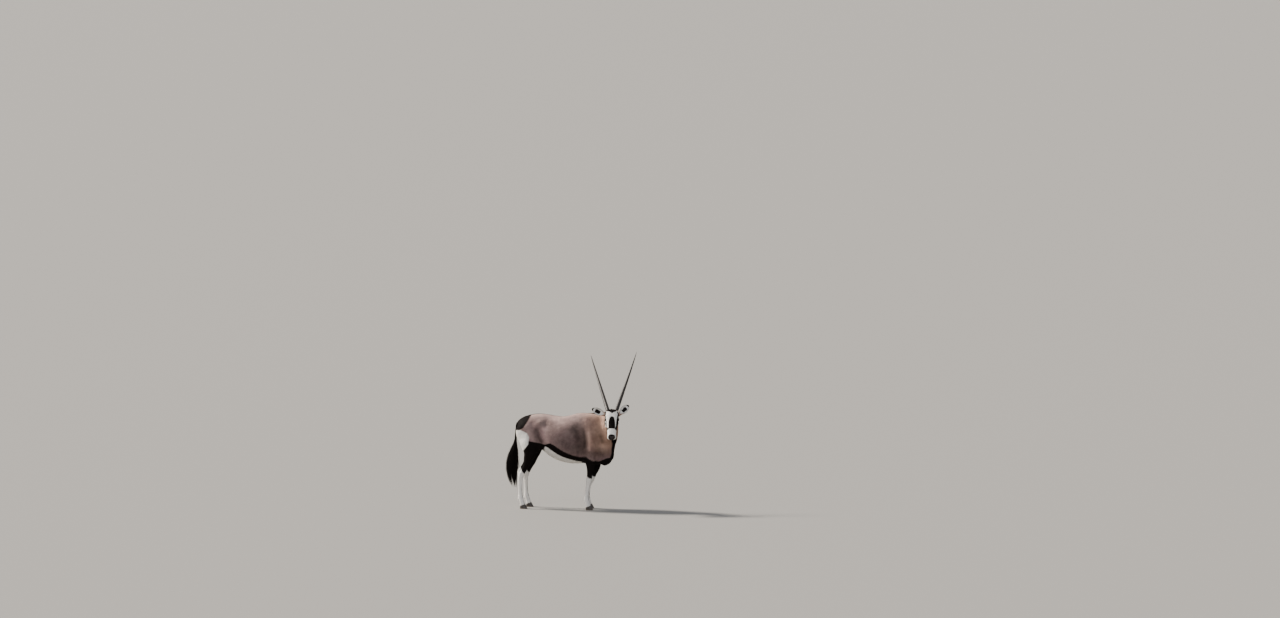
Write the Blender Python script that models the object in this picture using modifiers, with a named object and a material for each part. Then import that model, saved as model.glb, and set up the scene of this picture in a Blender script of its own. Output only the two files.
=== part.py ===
"""A standing gemsbok, life size, as a still museum model in its flesh, horn and hair.

The animal's trunk lies along X with the chest towards +X. Its head is turned to its own right, towards -Y.
The four feet stand on the plane z = 0. All sizes are in metres.
"""

import math
import random

import bmesh
import bpy
import numpy as np
from mathutils import Euler, Matrix, Vector

# Driving dimensions
SHOULDER_HEIGHT = 1.20
CROUP_HEIGHT = 1.183
HORN_LENGTH = 0.905
HORN_BASE_RADIUS = 0.0245
HORN_TIP_RADIUS = 0.0012
HORN_SIDES = 9
HEAD_LENGTH = 0.402
EYE_RADIUS = 0.0195
EYE_SEGMENTS = 16
EAR_LENGTH = 0.182
HOOF_LENGTH = 0.088
HOOF_HALF_WIDTH = 0.0195
HOOF_HEEL_BLUNTNESS = 0.30
HOOF_TOE_BLUNTNESS = 0.50
HOOF_FULLNESS = 1.36
HOOF_INNER_SHARE = 0.86
TAIL_TIP_HEIGHT = 0.225
GAP = 0.0003

# The pose: where the poll is, and how the head hangs from it
POLL = Vector((0.750, -0.245, 1.262))
HEAD_PITCH = math.radians(58.0)
HEAD_YAW = math.radians(10.0)
HEAD_ROLL = math.radians(0.3)

# Fineness of the fused surfaces
BODY_VOXEL = 0.0065
HEAD_VOXEL = 0.0036
TRIANGLES = {"body": 5350, "head": 2550}

MATERIALS = {
    "grey_coat": ((0.20, 0.135, 0.125), 0.85),
    "black_coat": ((0.012, 0.008, 0.007), 0.8),
    "white_coat": ((0.72, 0.68, 0.62), 0.85),
    "horn": ((0.014, 0.011, 0.010), 0.45),
    "hoof": ((0.020, 0.017, 0.015), 0.5),
    "eye": ((0.010, 0.006, 0.004), 0.08),
    "tail_hair": ((0.008, 0.007, 0.007), 0.55),
}

for old in list(bpy.data.objects):
    bpy.data.objects.remove(old, do_unlink=True)

parts = bpy.data.collections.new("gemsbok")
cutters = bpy.data.collections.new("gemsbok_cutters")
for collection in (parts, cutters):
    bpy.context.scene.collection.children.link(collection)


def material(slot):
    """The plain finish of one kind of surface."""
    found = bpy.data.materials.get(slot)
    if found:
        return found
    colour, roughness = MATERIALS[slot]
    made = bpy.data.materials.new(slot)
    made.use_nodes = True
    shader = made.node_tree.nodes["Principled BSDF"]
    shader.inputs["Base Color"].default_value = (*colour, 1.0)
    shader.inputs["Roughness"].default_value = roughness
    return made


def put(name, mesh, where=cutters):
    """An object for a mesh, in a collection."""
    obj = bpy.data.objects.new(name, mesh)
    where.objects.link(obj)
    return obj


def drop(*objects):
    for obj in objects:
        mesh = obj.data
        bpy.data.objects.remove(obj, do_unlink=True)
        if mesh.users == 0:
            bpy.data.meshes.remove(mesh)


def through(rows, count):
    """Rows of numbers read off a smooth curve through the given rows, evenly by their distance apart."""
    rows = np.array(rows, float)
    steps = np.linalg.norm(np.diff(rows[:, :3], axis=0), axis=1)
    at = np.concatenate([[0.0], np.cumsum(steps)])
    ends = np.vstack([2 * rows[0] - rows[1], rows, 2 * rows[-1] - rows[-2]])
    ats = np.concatenate([[-at[1]], at, [2 * at[-1] - at[-2]]])
    slopes = (ends[2:] - ends[:-2]) / (ats[2:] - ats[:-2])[:, None]
    wanted = np.linspace(0.0, at[-1], count)
    i = np.clip(np.searchsorted(at, wanted, side="right") - 1, 0, len(at) - 2)
    span = (at[i + 1] - at[i])[:, None]
    t = ((wanted - at[i])[:, None]) / span
    return (
        (2 * t**3 - 3 * t**2 + 1) * rows[i]
        + (t**3 - 2 * t**2 + t) * span * slopes[i]
        + (3 * t**2 - 2 * t**3) * rows[i + 1]
        + (t**3 - t**2) * span * slopes[i + 1]
    )


def shell(name, rings, matrix=None):
    """A closed solid through rings of points, each ring with as many points, and flat ends."""
    sides = len(rings[0])
    verts = [tuple(point) for ring in rings for point in ring]
    faces = []
    for ring in range(len(rings) - 1):
        for side in range(sides):
            a = ring * sides + side
            b = ring * sides + (side + 1) % sides
            faces.append((a, b, b + sides, a + sides))
    faces.append(tuple(range(sides))[::-1])
    faces.append(tuple(range(len(verts) - sides, len(verts))))
    mesh = bpy.data.meshes.new(name)
    mesh.from_pydata(verts, [], faces)
    if matrix is not None:
        mesh.transform(matrix)
    outward(mesh)
    return put(name, mesh)


def loft(name, rows, hint=(0, 0, 1), sides=24, rings=40, power=2.0, lean=0.0, matrix=None):
    """A closed tube through sections that differ.

    A row is (x, y, z, half width, reach towards the hint, reach away from it). Power squares the section,
    and lean widens its half on the hint's side.
    """
    rows = through(rows, rings)
    centres = rows[:, :3]
    tangents = np.gradient(centres, axis=0)
    tangents /= np.linalg.norm(tangents, axis=1)[:, None]
    ups = np.array(hint, float) - (tangents @ np.array(hint, float))[:, None] * tangents
    ups /= np.linalg.norm(ups, axis=1)[:, None]
    sideways = np.cross(ups, tangents)
    angles = np.linspace(0, 2 * math.pi, sides, endpoint=False)
    flat = np.sign(np.cos(angles)) * np.abs(np.cos(angles)) ** (2 / power)
    tall = np.sign(np.sin(angles)) * np.abs(np.sin(angles)) ** (2 / power)
    reach = np.where(tall[None, :] > 0, rows[:, 4:5], rows[:, 5:6]) * tall
    width = rows[:, 3:4] * flat * (1 + lean * tall)
    points = centres[:, None] + width[..., None] * sideways[:, None] + reach[..., None] * ups[:, None]
    return shell(name, points, matrix)


def outward(mesh):
    """Turns every face of a closed mesh out."""
    bm = bmesh.new()
    bm.from_mesh(mesh)
    bmesh.ops.recalc_face_normals(bm, faces=bm.faces)
    bm.to_mesh(mesh)
    bm.free()


def ball(name, centre, radii, turn=(0, 0, 0), matrix=None, segments=28):
    """An ellipsoid with its radii along its own turned axes, the turn in degrees."""
    bm = bmesh.new()
    bmesh.ops.create_uvsphere(bm, u_segments=segments, v_segments=segments // 2, radius=1.0)
    placed = Matrix.LocRotScale(Vector(centre), Euler([math.radians(a) for a in turn]), Vector(radii))
    bm.transform(matrix @ placed if matrix is not None else placed)
    mesh = bpy.data.meshes.new(name)
    bm.to_mesh(mesh)
    bm.free()
    return put(name, mesh)


def lock(name, path, facing, half_width, thickness):
    """A flat lock of hair along a path, widest a third of the way along and tapered to its tip."""
    count = len(path)
    rows = []
    for k, point in enumerate(path):
        t = k / (count - 1)
        share = 0.10 + 0.90 * math.sin(math.pi * min(1.0, 0.22 + t * 0.78)) ** 0.8
        rows.append((*point, half_width * share, thickness / 2 * share, thickness / 2 * share))
    return loft(name, rows, hint=facing, sides=4, rings=count)


def fuse_locks(obj, locks):
    """One union of a solid with its locks, which leaves one closed surface."""
    tuft = bpy.data.collections.new("locks")
    bpy.context.scene.collection.children.link(tuft)
    for piece in locks:
        cutters.objects.unlink(piece)
        tuft.objects.link(piece)
    modifier = obj.modifiers.new("union", "BOOLEAN")
    modifier.operand_type = "COLLECTION"
    modifier.collection = tuft
    modifier.operation = "UNION"
    modifier.solver = "MANIFOLD"
    settle(obj)
    drop(*locks)
    bpy.data.collections.remove(tuft)
    return obj


def region(name, low, high, planes, grown=0.0):
    """The part of a box that lies beyond each of some planes, with every face moved out by a distance."""
    low = Vector(low) - Vector((grown,) * 3)
    high = Vector(high) + Vector((grown,) * 3)
    bm = bmesh.new()
    bmesh.ops.create_cube(bm, size=1.0)
    bm.transform(Matrix.LocRotScale((low + high) / 2, None, high - low))
    for point, normal in planes:
        normal = Vector(normal).normalized()
        bmesh.ops.bisect_plane(
            bm,
            geom=bm.verts[:] + bm.edges[:] + bm.faces[:],
            plane_co=Vector(point) - normal * grown,
            plane_no=normal,
            clear_inner=True,
        )
        bmesh.ops.holes_fill(bm, edges=[edge for edge in bm.edges if edge.is_boundary])
    bmesh.ops.recalc_face_normals(bm, faces=bm.faces)
    mesh = bpy.data.meshes.new(name)
    bm.to_mesh(mesh)
    bm.free()
    return put(name, mesh)


def settle(obj):
    """Bakes an object's modifiers into its mesh."""
    graph = bpy.context.evaluated_depsgraph_get()
    graph.update()
    mesh = bpy.data.meshes.new_from_object(obj.evaluated_get(graph))
    obj.modifiers.clear()
    old = obj.data
    obj.data = mesh
    bpy.data.meshes.remove(old)
    return obj


def boolean(obj, other, operation):
    """One Boolean with an object, applied."""
    modifier = obj.modifiers.new("cut", "BOOLEAN")
    modifier.operation = operation
    modifier.object = other
    modifier.solver = "EXACT"
    settle(obj)
    return obj


def copy_of(obj, name, where=cutters):
    return put(name, obj.data.copy(), where)


def join(name, objects):
    """Overlapping pieces in one mesh, for the remesh that fuses them."""
    bm = bmesh.new()
    for obj in objects:
        bm.from_mesh(obj.data)
    mesh = bpy.data.meshes.new(name)
    bm.to_mesh(mesh)
    bm.free()
    drop(*objects)
    return put(name, mesh)


def relax(obj, rounds, shrink=0.5, grow=-0.52):
    """Evens out a surface without thinning it, by pulling each point to its neighbours and then back."""
    mesh = obj.data
    points = np.empty(len(mesh.vertices) * 3)
    mesh.vertices.foreach_get("co", points)
    points = points.reshape(-1, 3)
    edges = np.empty(len(mesh.edges) * 2, int)
    mesh.edges.foreach_get("vertices", edges)
    edges = edges.reshape(-1, 2)
    count = np.bincount(edges.ravel(), minlength=len(points))[:, None]
    for factor in (shrink, grow) * rounds:
        total = np.zeros_like(points)
        np.add.at(total, edges[:, 0], points[edges[:, 1]])
        np.add.at(total, edges[:, 1], points[edges[:, 0]])
        points = points + factor * (total / count - points)
    mesh.vertices.foreach_set("co", points.ravel())
    mesh.update()


def fuse(name, objects, voxel, rounds):
    """Pieces of flesh run together into one skin."""
    obj = join(name, objects)
    modifier = obj.modifiers.new("fuse", "REMESH")
    modifier.mode = "VOXEL"
    modifier.voxel_size = voxel
    settle(obj)
    relax(obj, rounds)
    return obj


def thin(obj, triangles):
    """Fewer triangles, kept where the form turns most."""
    bm = bmesh.new()
    bm.from_mesh(obj.data)
    bmesh.ops.triangulate(bm, faces=bm.faces)
    bm.to_mesh(obj.data)
    bm.free()
    modifier = obj.modifiers.new("thin", "DECIMATE")
    modifier.ratio = min(1.0, triangles / len(obj.data.polygons))
    settle(obj)
    return obj


def largest(obj):
    """Keeps the largest closed surface of a mesh."""
    bm = bmesh.new()
    bm.from_mesh(obj.data)
    bmesh.ops.remove_doubles(bm, verts=bm.verts, dist=1e-6)
    left, bodies = set(bm.verts), []
    while left:
        body, todo = set(), [left.pop()]
        while todo:
            vert = todo.pop()
            body.add(vert)
            for edge in vert.link_edges:
                other = edge.other_vert(vert)
                if other in left:
                    left.discard(other)
                    todo.append(other)
        bodies.append(body)
    bodies.sort(key=len)
    loose = [vert for body in bodies[:-1] for vert in body]
    bmesh.ops.delete(bm, geom=loose, context="VERTS")
    bmesh.ops.triangulate(bm, faces=bm.faces)
    bm.to_mesh(obj.data)
    bm.free()
    return obj


def node(obj, name, slot):
    """Turns a finished solid into a node of the model."""
    largest(obj)
    obj.name = name
    obj.data.name = name
    for collection in list(obj.users_collection):
        collection.objects.unlink(obj)
    parts.objects.link(obj)
    obj.data.materials.clear()
    obj.data.materials.append(material(slot))
    obj.data.shade_smooth()
    obj.data.set_sharp_from_angle(angle=math.radians(50))
    return obj


# The head's own frame: x from the poll to the nose, y to the animal's left, z out of the forehead
def head_frame():
    forward = Vector((0, -math.cos(HEAD_PITCH), -math.sin(HEAD_PITCH)))
    left = Vector((1, 0, 0))
    up = forward.cross(left)
    turned = Matrix((forward, left, up)).transposed().to_4x4()
    roll = Matrix.Rotation(-HEAD_ROLL, 4, "Y")
    yaw = Matrix.Rotation(HEAD_YAW, 4, "Z")
    return Matrix.Translation(POLL) @ roll @ yaw @ turned


HEAD = head_frame()


def at_head(x, y, z):
    return HEAD @ Vector((x, y, z))


def head_way(x, y, z):
    return (HEAD.to_3x3() @ Vector((x, y, z))).normalized()


# Trunk: x, highest, lowest, half width, height of the widest line
TRUNK = (
    (-0.486, 1.010, 0.880, 0.050, 0.945),
    (-0.474, 1.060, 0.830, 0.095, 0.945),
    (-0.445, 1.104, 0.780, 0.136, 0.955),
    (-0.385, 1.148, 0.735, 0.170, 0.965),
    (-0.290, CROUP_HEIGHT - 0.008, 0.735, 0.184, 0.965),
    (-0.190, CROUP_HEIGHT - 0.003, 0.775, 0.194, 0.955),
    (-0.080, 1.166, 0.692, 0.216, 0.920),
    (0.030, 1.160, 0.616, 0.240, 0.885),
    (0.140, 1.168, 0.574, 0.246, 0.865),
    (0.250, 1.188, 0.567, 0.232, 0.860),
    (0.350, SHOULDER_HEIGHT, 0.574, 0.198, 0.865),
    (0.440, SHOULDER_HEIGHT - 0.003, 0.556, 0.166, 0.855),
    (0.530, 1.165, 0.536, 0.152, 0.830),
    (0.610, 1.090, 0.538, 0.134, 0.800),
    (0.672, 0.990, 0.580, 0.104, 0.780),
    (0.712, 0.900, 0.650, 0.052, 0.780),
)

# Neck, from deep in the chest to inside the head: centre, half width, to the crest, to the throat
NECK = (
    (0.400, 0.000, 0.900, 0.150, 0.275, 0.250),
    (0.520, 0.000, 0.955, 0.142, 0.240, 0.262),
    (0.612, -0.006, 1.015, 0.124, 0.190, 0.236),
    (0.674, -0.046, 1.074, 0.104, 0.148, 0.186),
    (0.706, -0.108, 1.126, 0.089, 0.116, 0.146),
    (0.722, -0.172, 1.160, 0.078, 0.094, 0.116),
    (0.726, -0.232, 1.180, 0.066, 0.072, 0.088),
)

# Fore leg, elbow to pastern: x, y, z, half width, to the front, to the back
FORELEG = (
    (0.445, 0.095, 0.770, 0.040, 0.070, 0.070),
    (0.440, 0.130, 0.685, 0.055, 0.076, 0.075),
    (0.443, 0.130, 0.610, 0.050, 0.066, 0.060),
    (0.446, 0.124, 0.520, 0.040, 0.049, 0.043),
    (0.437, 0.119, 0.435, 0.032, 0.036, 0.033),
    (0.430, 0.116, 0.385, 0.034, 0.036, 0.034),
    (0.425, 0.115, 0.345, 0.032, 0.033, 0.034),
    (0.416, 0.114, 0.305, 0.024, 0.025, 0.026),
    (0.406, 0.113, 0.235, 0.0215, 0.021, 0.0245),
    (0.400, 0.112, 0.175, 0.0225, 0.021, 0.026),
    (0.398, 0.112, 0.135, 0.0280, 0.027, 0.033),
    (0.402, 0.112, 0.108, 0.0270, 0.027, 0.030),
)

# Hind leg, thigh to pastern: the same six numbers
HINDLEG = (
    (-0.330, 0.060, 0.960, 0.055, 0.090, 0.090),
    (-0.322, 0.108, 0.860, 0.086, 0.126, 0.130),
    (-0.314, 0.126, 0.770, 0.082, 0.112, 0.112),
    (-0.316, 0.132, 0.700, 0.066, 0.084, 0.082),
    (-0.332, 0.132, 0.640, 0.053, 0.064, 0.064),
    (-0.358, 0.128, 0.565, 0.041, 0.052, 0.046),
    (-0.388, 0.124, 0.500, 0.031, 0.040, 0.036),
    (-0.416, 0.121, 0.450, 0.033, 0.040, 0.036),
    (-0.428, 0.120, 0.405, 0.032, 0.036, 0.036),
    (-0.432, 0.119, 0.355, 0.025, 0.027, 0.031),
    (-0.433, 0.118, 0.270, 0.0215, 0.022, 0.027),
    (-0.432, 0.117, 0.185, 0.0225, 0.022, 0.028),
    (-0.430, 0.117, 0.142, 0.0285, 0.028, 0.034),
    (-0.423, 0.117, 0.112, 0.0275, 0.028, 0.031),
)

# The two toes of a foot, from the fetlock to inside the hoof, from the last point of the leg
TOE = (
    (-0.004, 0.008, 0.030, 0.019, 0.026, 0.028),
    (0.003, 0.015, 0.000, 0.0185, 0.024, 0.026),
    (0.011, 0.018, -0.028, 0.0185, 0.024, 0.025),
    (0.018, 0.0205, -0.054, 0.0190, 0.028, 0.028),
    (0.021, 0.0215, -0.078, 0.0185, 0.029, 0.030),
)

# How far each leg's line leans forwards at a few heights, as the animal shifts its weight
LEAN = {
    "foreleg_right": ((0.0, 0.0), (1.0, 0.0)),
    "foreleg_left": ((0.0, -0.038), (0.30, -0.030), (0.385, -0.010), (0.52, 0.026), (0.70, 0.026), (0.78, 0.0)),
    "hindleg_right": ((0.0, -0.010), (0.45, -0.004), (0.65, 0.0)),
    "hindleg_left": ((0.0, 0.016), (0.42, 0.004), (0.65, 0.0)),
}
SIDES = {"right": -1, "left": 1}

# The coronet, where hair ends and horn begins: its centre from the toe's last point, its slope and its size
CORONET_HEIGHT = 0.045
CORONET_SLOPE = 0.33
CORONET_HALF_LENGTH = 0.030
CORONET_HALF_WIDTH = 0.0192
HEEL_BEHIND = 0.030
TOE_SPREAD = math.radians(4.0)


def side_of(leg):
    return SIDES[leg.split("_")[1]]


def in_stance(leg, rows):
    """Rows drawn for a left leg that stands square, set on their own side and leaned as this leg leans."""
    heights, shifts = zip(*LEAN[leg])
    return [(x + float(np.interp(z, heights, shifts)), y * side_of(leg), z, *rest) for x, y, z, *rest in rows]


def trunk():
    rows = [(x, 0, mid, wide, top - mid, mid - low) for x, top, low, wide, mid in TRUNK]
    return [
        loft("trunk", rows, sides=48, rings=70, power=2.15, lean=-0.04),
        loft("tail_root", (*TAIL[:3], TAIL_STUB), hint=(0, 1, 0), sides=20, rings=12),
    ]


def neck():
    return [loft("neck_core", NECK, sides=40, rings=44, power=2.0, lean=-0.05)]


def shoulder_masses(y):
    """Shoulder blade, upper arm, point of the shoulder and elbow of one side."""
    return [
        ball("blade", (0.425, 0.096 * y, 0.975), (0.085, 0.072, 0.195), (14 * y, -18, 0)),
        ball("upper_arm", (0.465, 0.112 * y, 0.775), (0.125, 0.064, 0.085), (0, -28, 0)),
        ball("shoulder_point", (0.585, 0.080 * y, 0.835), (0.066, 0.062, 0.072)),
        ball("triceps", (0.396, 0.128 * y, 0.760), (0.070, 0.062, 0.115), (0, -8, 0)),
        ball("forearm", (0.440, 0.128 * y, 0.690), (0.078, 0.058, 0.105)),
        ball("elbow", (0.374, 0.136 * y, 0.655), (0.030, 0.026, 0.038)),
        ball("chest_muscle", (0.612, 0.046 * y, 0.636), (0.078, 0.062, 0.090)),
        ball("breast", (0.628, 0.020 * y, 0.815), (0.108, 0.082, 0.165)),
    ]


def haunch_masses(y):
    """Hip, rump, buttock, thigh and the fold of skin from the stifle to the flank."""
    return [
        ball("rump", (-0.335, 0.088 * y, 0.990), (0.140, 0.103, 0.130), (0, 18, 0)),
        ball("hip", (-0.178, 0.128 * y, 1.075), (0.055, 0.040, 0.040)),
        ball("buttock", (-0.425, 0.080 * y, 0.935), (0.082, 0.074, 0.125), (0, -8, 0)),
        ball("thigh_back", (-0.390, 0.100 * y, 0.860), (0.070, 0.074, 0.130), (0, -14, 0)),
        ball("thigh_front", (-0.240, 0.120 * y, 0.830), (0.070, 0.062, 0.110), (0, 16, 0)),
        ball("thigh", (-0.316, 0.112 * y, 0.865), (0.130, 0.079, 0.205)),
        ball("stifle", (-0.236, 0.130 * y, 0.745), (0.040, 0.038, 0.045)),
        ball("flank_fold", (-0.172, 0.128 * y, 0.800), (0.065, 0.024, 0.060), (0, 40, 0)),
    ]


# Small swellings of each kind of leg: centre and radii
LEG_SWELLINGS = {
    "foreleg": (
        ((0.435, 0.116, 0.372), (0.027, 0.034, 0.034)),
        ((0.406, 0.118, 0.380), (0.016, 0.018, 0.024)),
        ((0.397, 0.127, 0.132), (0.020, 0.015, 0.020)),
        ((0.397, 0.097, 0.132), (0.020, 0.015, 0.020)),
        ((0.369, 0.124, 0.112), (0.010, 0.009, 0.014)),
        ((0.369, 0.100, 0.112), (0.010, 0.009, 0.014)),
    ),
    "hindleg": (
        ((-0.418, 0.133, 0.430), (0.028, 0.020, 0.034)),
        ((-0.416, 0.107, 0.425), (0.028, 0.020, 0.032)),
        ((-0.430, 0.132, 0.138), (0.021, 0.015, 0.021)),
        ((-0.430, 0.102, 0.138), (0.021, 0.015, 0.021)),
        ((-0.460, 0.129, 0.116), (0.010, 0.009, 0.014)),
        ((-0.460, 0.105, 0.116), (0.010, 0.009, 0.014)),
    ),
}

# The tendon to the point of the hock, with a hollow between it and the shank
HOCK_TENDON = (
    (-0.372, 0.124, 0.600, 0.018, 0.020, 0.020),
    (-0.412, 0.122, 0.540, 0.0130, 0.014, 0.014),
    (-0.448, 0.120, 0.490, 0.0120, 0.014, 0.014),
    (-0.456, 0.119, 0.462, 0.0150, 0.020, 0.016),
    (-0.444, 0.119, 0.415, 0.0170, 0.022, 0.020),
)


def toe_rows(leg, out):
    """One toe's rows in stance, out being 1 for the outer toe and -1 for the inner."""
    x, y, z = (FORELEG if leg.startswith("fore") else HINDLEG)[-1][:3]
    rows = [(x + dx, y + out * dy, z + dz, *rest) for dx, dy, dz, *rest in TOE]
    return in_stance(leg, rows)


def leg_pieces(leg):
    """A leg's flesh: its own line, its swellings, its tendon and its toes."""
    kind = leg.split("_")[0]
    main = FORELEG if kind == "foreleg" else HINDLEG
    made = [loft(leg, in_stance(leg, main), hint=(1, 0, 0), sides=28, rings=70)]
    for centre, radii in LEG_SWELLINGS[kind]:
        made.append(ball("swelling", in_stance(leg, [centre])[0], radii, segments=20))
    if kind == "hindleg":
        made.append(loft("hock_tendon", in_stance(leg, HOCK_TENDON), hint=(1, 0, 0), sides=14, rings=20))
    for out in (-1, 1):
        made.append(loft("toe", toe_rows(leg, out), hint=(1, 0, 0), sides=16, rings=16))
    return made


# Tail, from inside the rump to the end of its fleshy dock: centre, half length along x, half width each way
TAIL = (
    (-0.425, 0.0, 1.090, 0.032, 0.034, 0.034),
    (-0.466, 0.0, 1.078, 0.027, 0.027, 0.027),
    (-0.494, 0.0, 1.060, 0.0215, 0.022, 0.022),
    (-0.509, 0.0, 1.028, 0.0180, 0.020, 0.020),
    (-0.517, 0.0, 0.965, 0.0150, 0.017, 0.017),
    (-0.524, 0.0, 0.900, 0.0160, 0.017, 0.017),
    (-0.532, 0.0, 0.820, 0.0220, 0.020, 0.020),
    (-0.546, 0.0, 0.720, 0.0300, 0.022, 0.022),
    (-0.556, 0.0, 0.640, 0.0260, 0.018, 0.018),
    (-0.560, 0.0, 0.580, 0.0120, 0.009, 0.009),
)

# The tassel of long hair: its centre line with the half length along x and the half width of its outline
TASSEL = (
    (-0.526, 0.0, 0.900, 0.0150, 0.0155, 0.0155),
    (-0.534, 0.0, 0.840, 0.0235, 0.0210, 0.0210),
    (-0.546, 0.0, 0.760, 0.0440, 0.0320, 0.0320),
    (-0.562, 0.0, 0.670, 0.0630, 0.0410, 0.0410),
    (-0.572, 0.0, 0.580, 0.0730, 0.0440, 0.0440),
    (-0.574, 0.0, 0.480, 0.0740, 0.0430, 0.0430),
    (-0.566, 0.0, 0.380, 0.0640, 0.0360, 0.0360),
    (-0.550, 0.0, 0.290, 0.0400, 0.0220, 0.0220),
    (-0.532, 0.0, TAIL_TIP_HEIGHT, 0.0060, 0.0050, 0.0050),
)

# Its tiers of locks: how many, share of the outline, height of the roots, height of the tips, half width
TASSEL_TIERS = (
    (5, 0.48, (0.690, 0.640), (0.255, TAIL_TIP_HEIGHT), 0.0240),
    (9, 0.92, (0.890, 0.790), (0.360, 0.260), 0.0310),
)
LOCK_THICKNESS = 0.0085
LOCK_RINGS = 7
TAIL_STUB = (-0.503, 0.0, 1.045, 0.0200, 0.021, 0.021)
TAIL_CLEARANCE = 0.002
TAIL_CUT = (Vector((-0.494, 0, 1.060)), Vector((-0.76, 0, -0.65)))

# Head, in its own frame: share of its length, then top, underside, half width, height of the widest line
SKULL = (
    (-0.108, -0.050, -0.115, 0.040, -0.080),
    (-0.048, -0.018, -0.150, 0.062, -0.075),
    (0.048, 0.000, -0.172, 0.076, -0.068),
    (0.157, 0.006, -0.182, 0.081, -0.058),
    (0.265, 0.007, -0.180, 0.0835, -0.050),
    (0.373, 0.004, -0.166, 0.0770, -0.050),
    (0.494, 0.000, -0.144, 0.0665, -0.052),
    (0.627, -0.002, -0.123, 0.057, -0.052),
    (0.744, -0.006, -0.110, 0.052, -0.053),
    (0.820, -0.010, -0.102, 0.053, -0.055),
    (0.892, -0.019, -0.095, 0.049, -0.057),
    (0.940, -0.034, -0.085, 0.036, -0.060),
)

EYE_AT = (0.115, 0.0685, -0.040)
EYE_OPENING = (0.0200, 0.0200, 0.0132)
HORN_ROOT = (-0.002, 0.052, -0.024)
HORN_SPREAD = math.radians(14.8)
HORN_SWEEP = {"right": math.radians(12.0), "left": math.radians(8.0)}
EAR_ROOT = (0.040, 0.079, -0.064)
EAR_WAY = {"right": Vector((-0.160, -0.006, 0.074)), "left": Vector((0.088, 0.086, 0.102))}
EAR_FACING = Vector((0.12, -0.92, 0.30))

# The line of the mouth, from its left corner to the front: in the head's frame
MOUTH = ((0.276, 0.055, -0.089), (0.309, 0.054, -0.0845), (0.342, 0.050, -0.081), (0.368, 0.033, -0.079))
MOUTH_FRONT = (0.374, 0, -0.0775)
MOUTH_SLIT = (0.0065, 0.0011, 0.0011)


def mirrored(place, side):
    return (place[0], place[1] * side, place[2])


def horn_line(word):
    """A horn's base and the way it grows."""
    side = SIDES[word]
    away = math.cos(HORN_SPREAD)
    lateral = side * math.sin(HORN_SPREAD)
    way = head_way(-away * math.cos(HORN_SWEEP[word]), lateral, -away * math.sin(HORN_SWEEP[word]))
    return at_head(*mirrored(HORN_ROOT, side)) + way * 0.010, way


def ear_line(word):
    """An ear's base, the way it grows and the way its cup faces."""
    way = EAR_WAY[word].normalized()
    facing = (EAR_FACING - way * EAR_FACING.dot(way)).normalized()
    return at_head(*mirrored(EAR_ROOT, SIDES[word])) + way * 0.010, way, facing


def stump(name, inside, base, way, radius, reach):
    """A short tapered stalk from inside the skull, for what grows out of the head."""
    rows = [(*inside, *(radius * 1.15,) * 3), (*base, *(radius,) * 3), (*(base + way * reach), *(radius * 0.95,) * 3)]
    return loft(name, rows, hint=way.orthogonal(), sides=20, rings=12)


def head_masses():
    """Brow, cheek, jaw, muzzle and the stumps of horns and ears."""
    rows = [(x * HEAD_LENGTH, 0, mid, wide, top - mid, mid - low) for x, top, low, wide, mid in SKULL]
    made = [loft("skull", rows, sides=40, rings=70, power=2.4, lean=0.05, matrix=HEAD)]
    for word, y in SIDES.items():
        horn_base, horn_way = horn_line(word)
        ear_base, ear_way, _ = ear_line(word)
        made += [
            ball("brow", (0.078, 0.057 * y, -0.022), (0.078, 0.021, 0.016), (0, 0, 5 * y), HEAD),
            ball("orbit", (0.113, 0.0570 * y, -0.047), (0.070, 0.0300, 0.037), (0, 0, 5 * y), HEAD),
            ball("cheek", (0.080, 0.048 * y, -0.112), (0.064, 0.034, 0.056), (0, -18, 0), HEAD),
            ball("cheek_ridge", (0.170, 0.052 * y, -0.058), (0.072, 0.020, 0.020), (0, 4, -8 * y), HEAD),
            ball("nostril_wing", (0.348, 0.029 * y, -0.036), (0.030, 0.021, 0.020), (0, 22, 8 * y), HEAD),
            ball("upper_lip", (0.336, 0.032 * y, -0.069), (0.040, 0.023, 0.018), (0, 4, 6 * y), HEAD),
            ball("chin", (0.340, 0.014 * y, -0.096), (0.030, 0.021, 0.013), (0, -8, 0), HEAD),
            stump("horn_stump", at_head(0.050, 0.034 * y, -0.055), horn_base, horn_way,
                  HORN_BASE_RADIUS * 1.10, 0.016),
            stump("ear_stump", at_head(0.034, 0.030 * y, -0.075), ear_base, ear_way, 0.0185, 0.014),
        ]
    return made


def soften(obj, rounds, heights=None):
    """Draws neighbouring masses into one another, fading in between two heights where they are given."""
    modifier = obj.modifiers.new("soften", "SMOOTH")
    modifier.factor = 0.5
    modifier.iterations = rounds
    if heights:
        low, high = heights
        group = obj.vertex_groups.new(name="soft")
        for vert in obj.data.vertices:
            share = min(1.0, max(0.0, (vert.co.z - low) / (high - low)))
            group.add([vert.index], share, "REPLACE")
        modifier.vertex_group = group.name
    return settle(obj)


def build_flesh():
    """The whole body as one skin, and the head with the top of the neck again on a finer grid."""
    masses = [mass for y in (-1, 1) for mass in shoulder_masses(y) + haunch_masses(y)]
    rough = fuse("rough", trunk() + neck() + masses, 0.011, 1)
    soften(rough, 22)
    nape = copy_of(rough, "nape")
    around = region("around", (0.50, -0.50, 0.80), (1.0, 0.20, 1.60), [])
    boolean(nape, around, "INTERSECT")
    drop(around)
    head_pieces = head_masses()
    finer = [copy_of(piece, "fine") for piece in head_pieces] + [nape]
    legs = [piece for leg in LEAN for piece in leg_pieces(leg)]
    whole = fuse("flesh", [rough] + legs + head_pieces, BODY_VOXEL, 6)
    soften(whole, 16, (0.50, 0.68))
    fine = fuse("flesh_head", finer, HEAD_VOXEL, 5)
    soften(fine, 14)
    return thin(whole, TRIANGLES["body"]), fine


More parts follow.
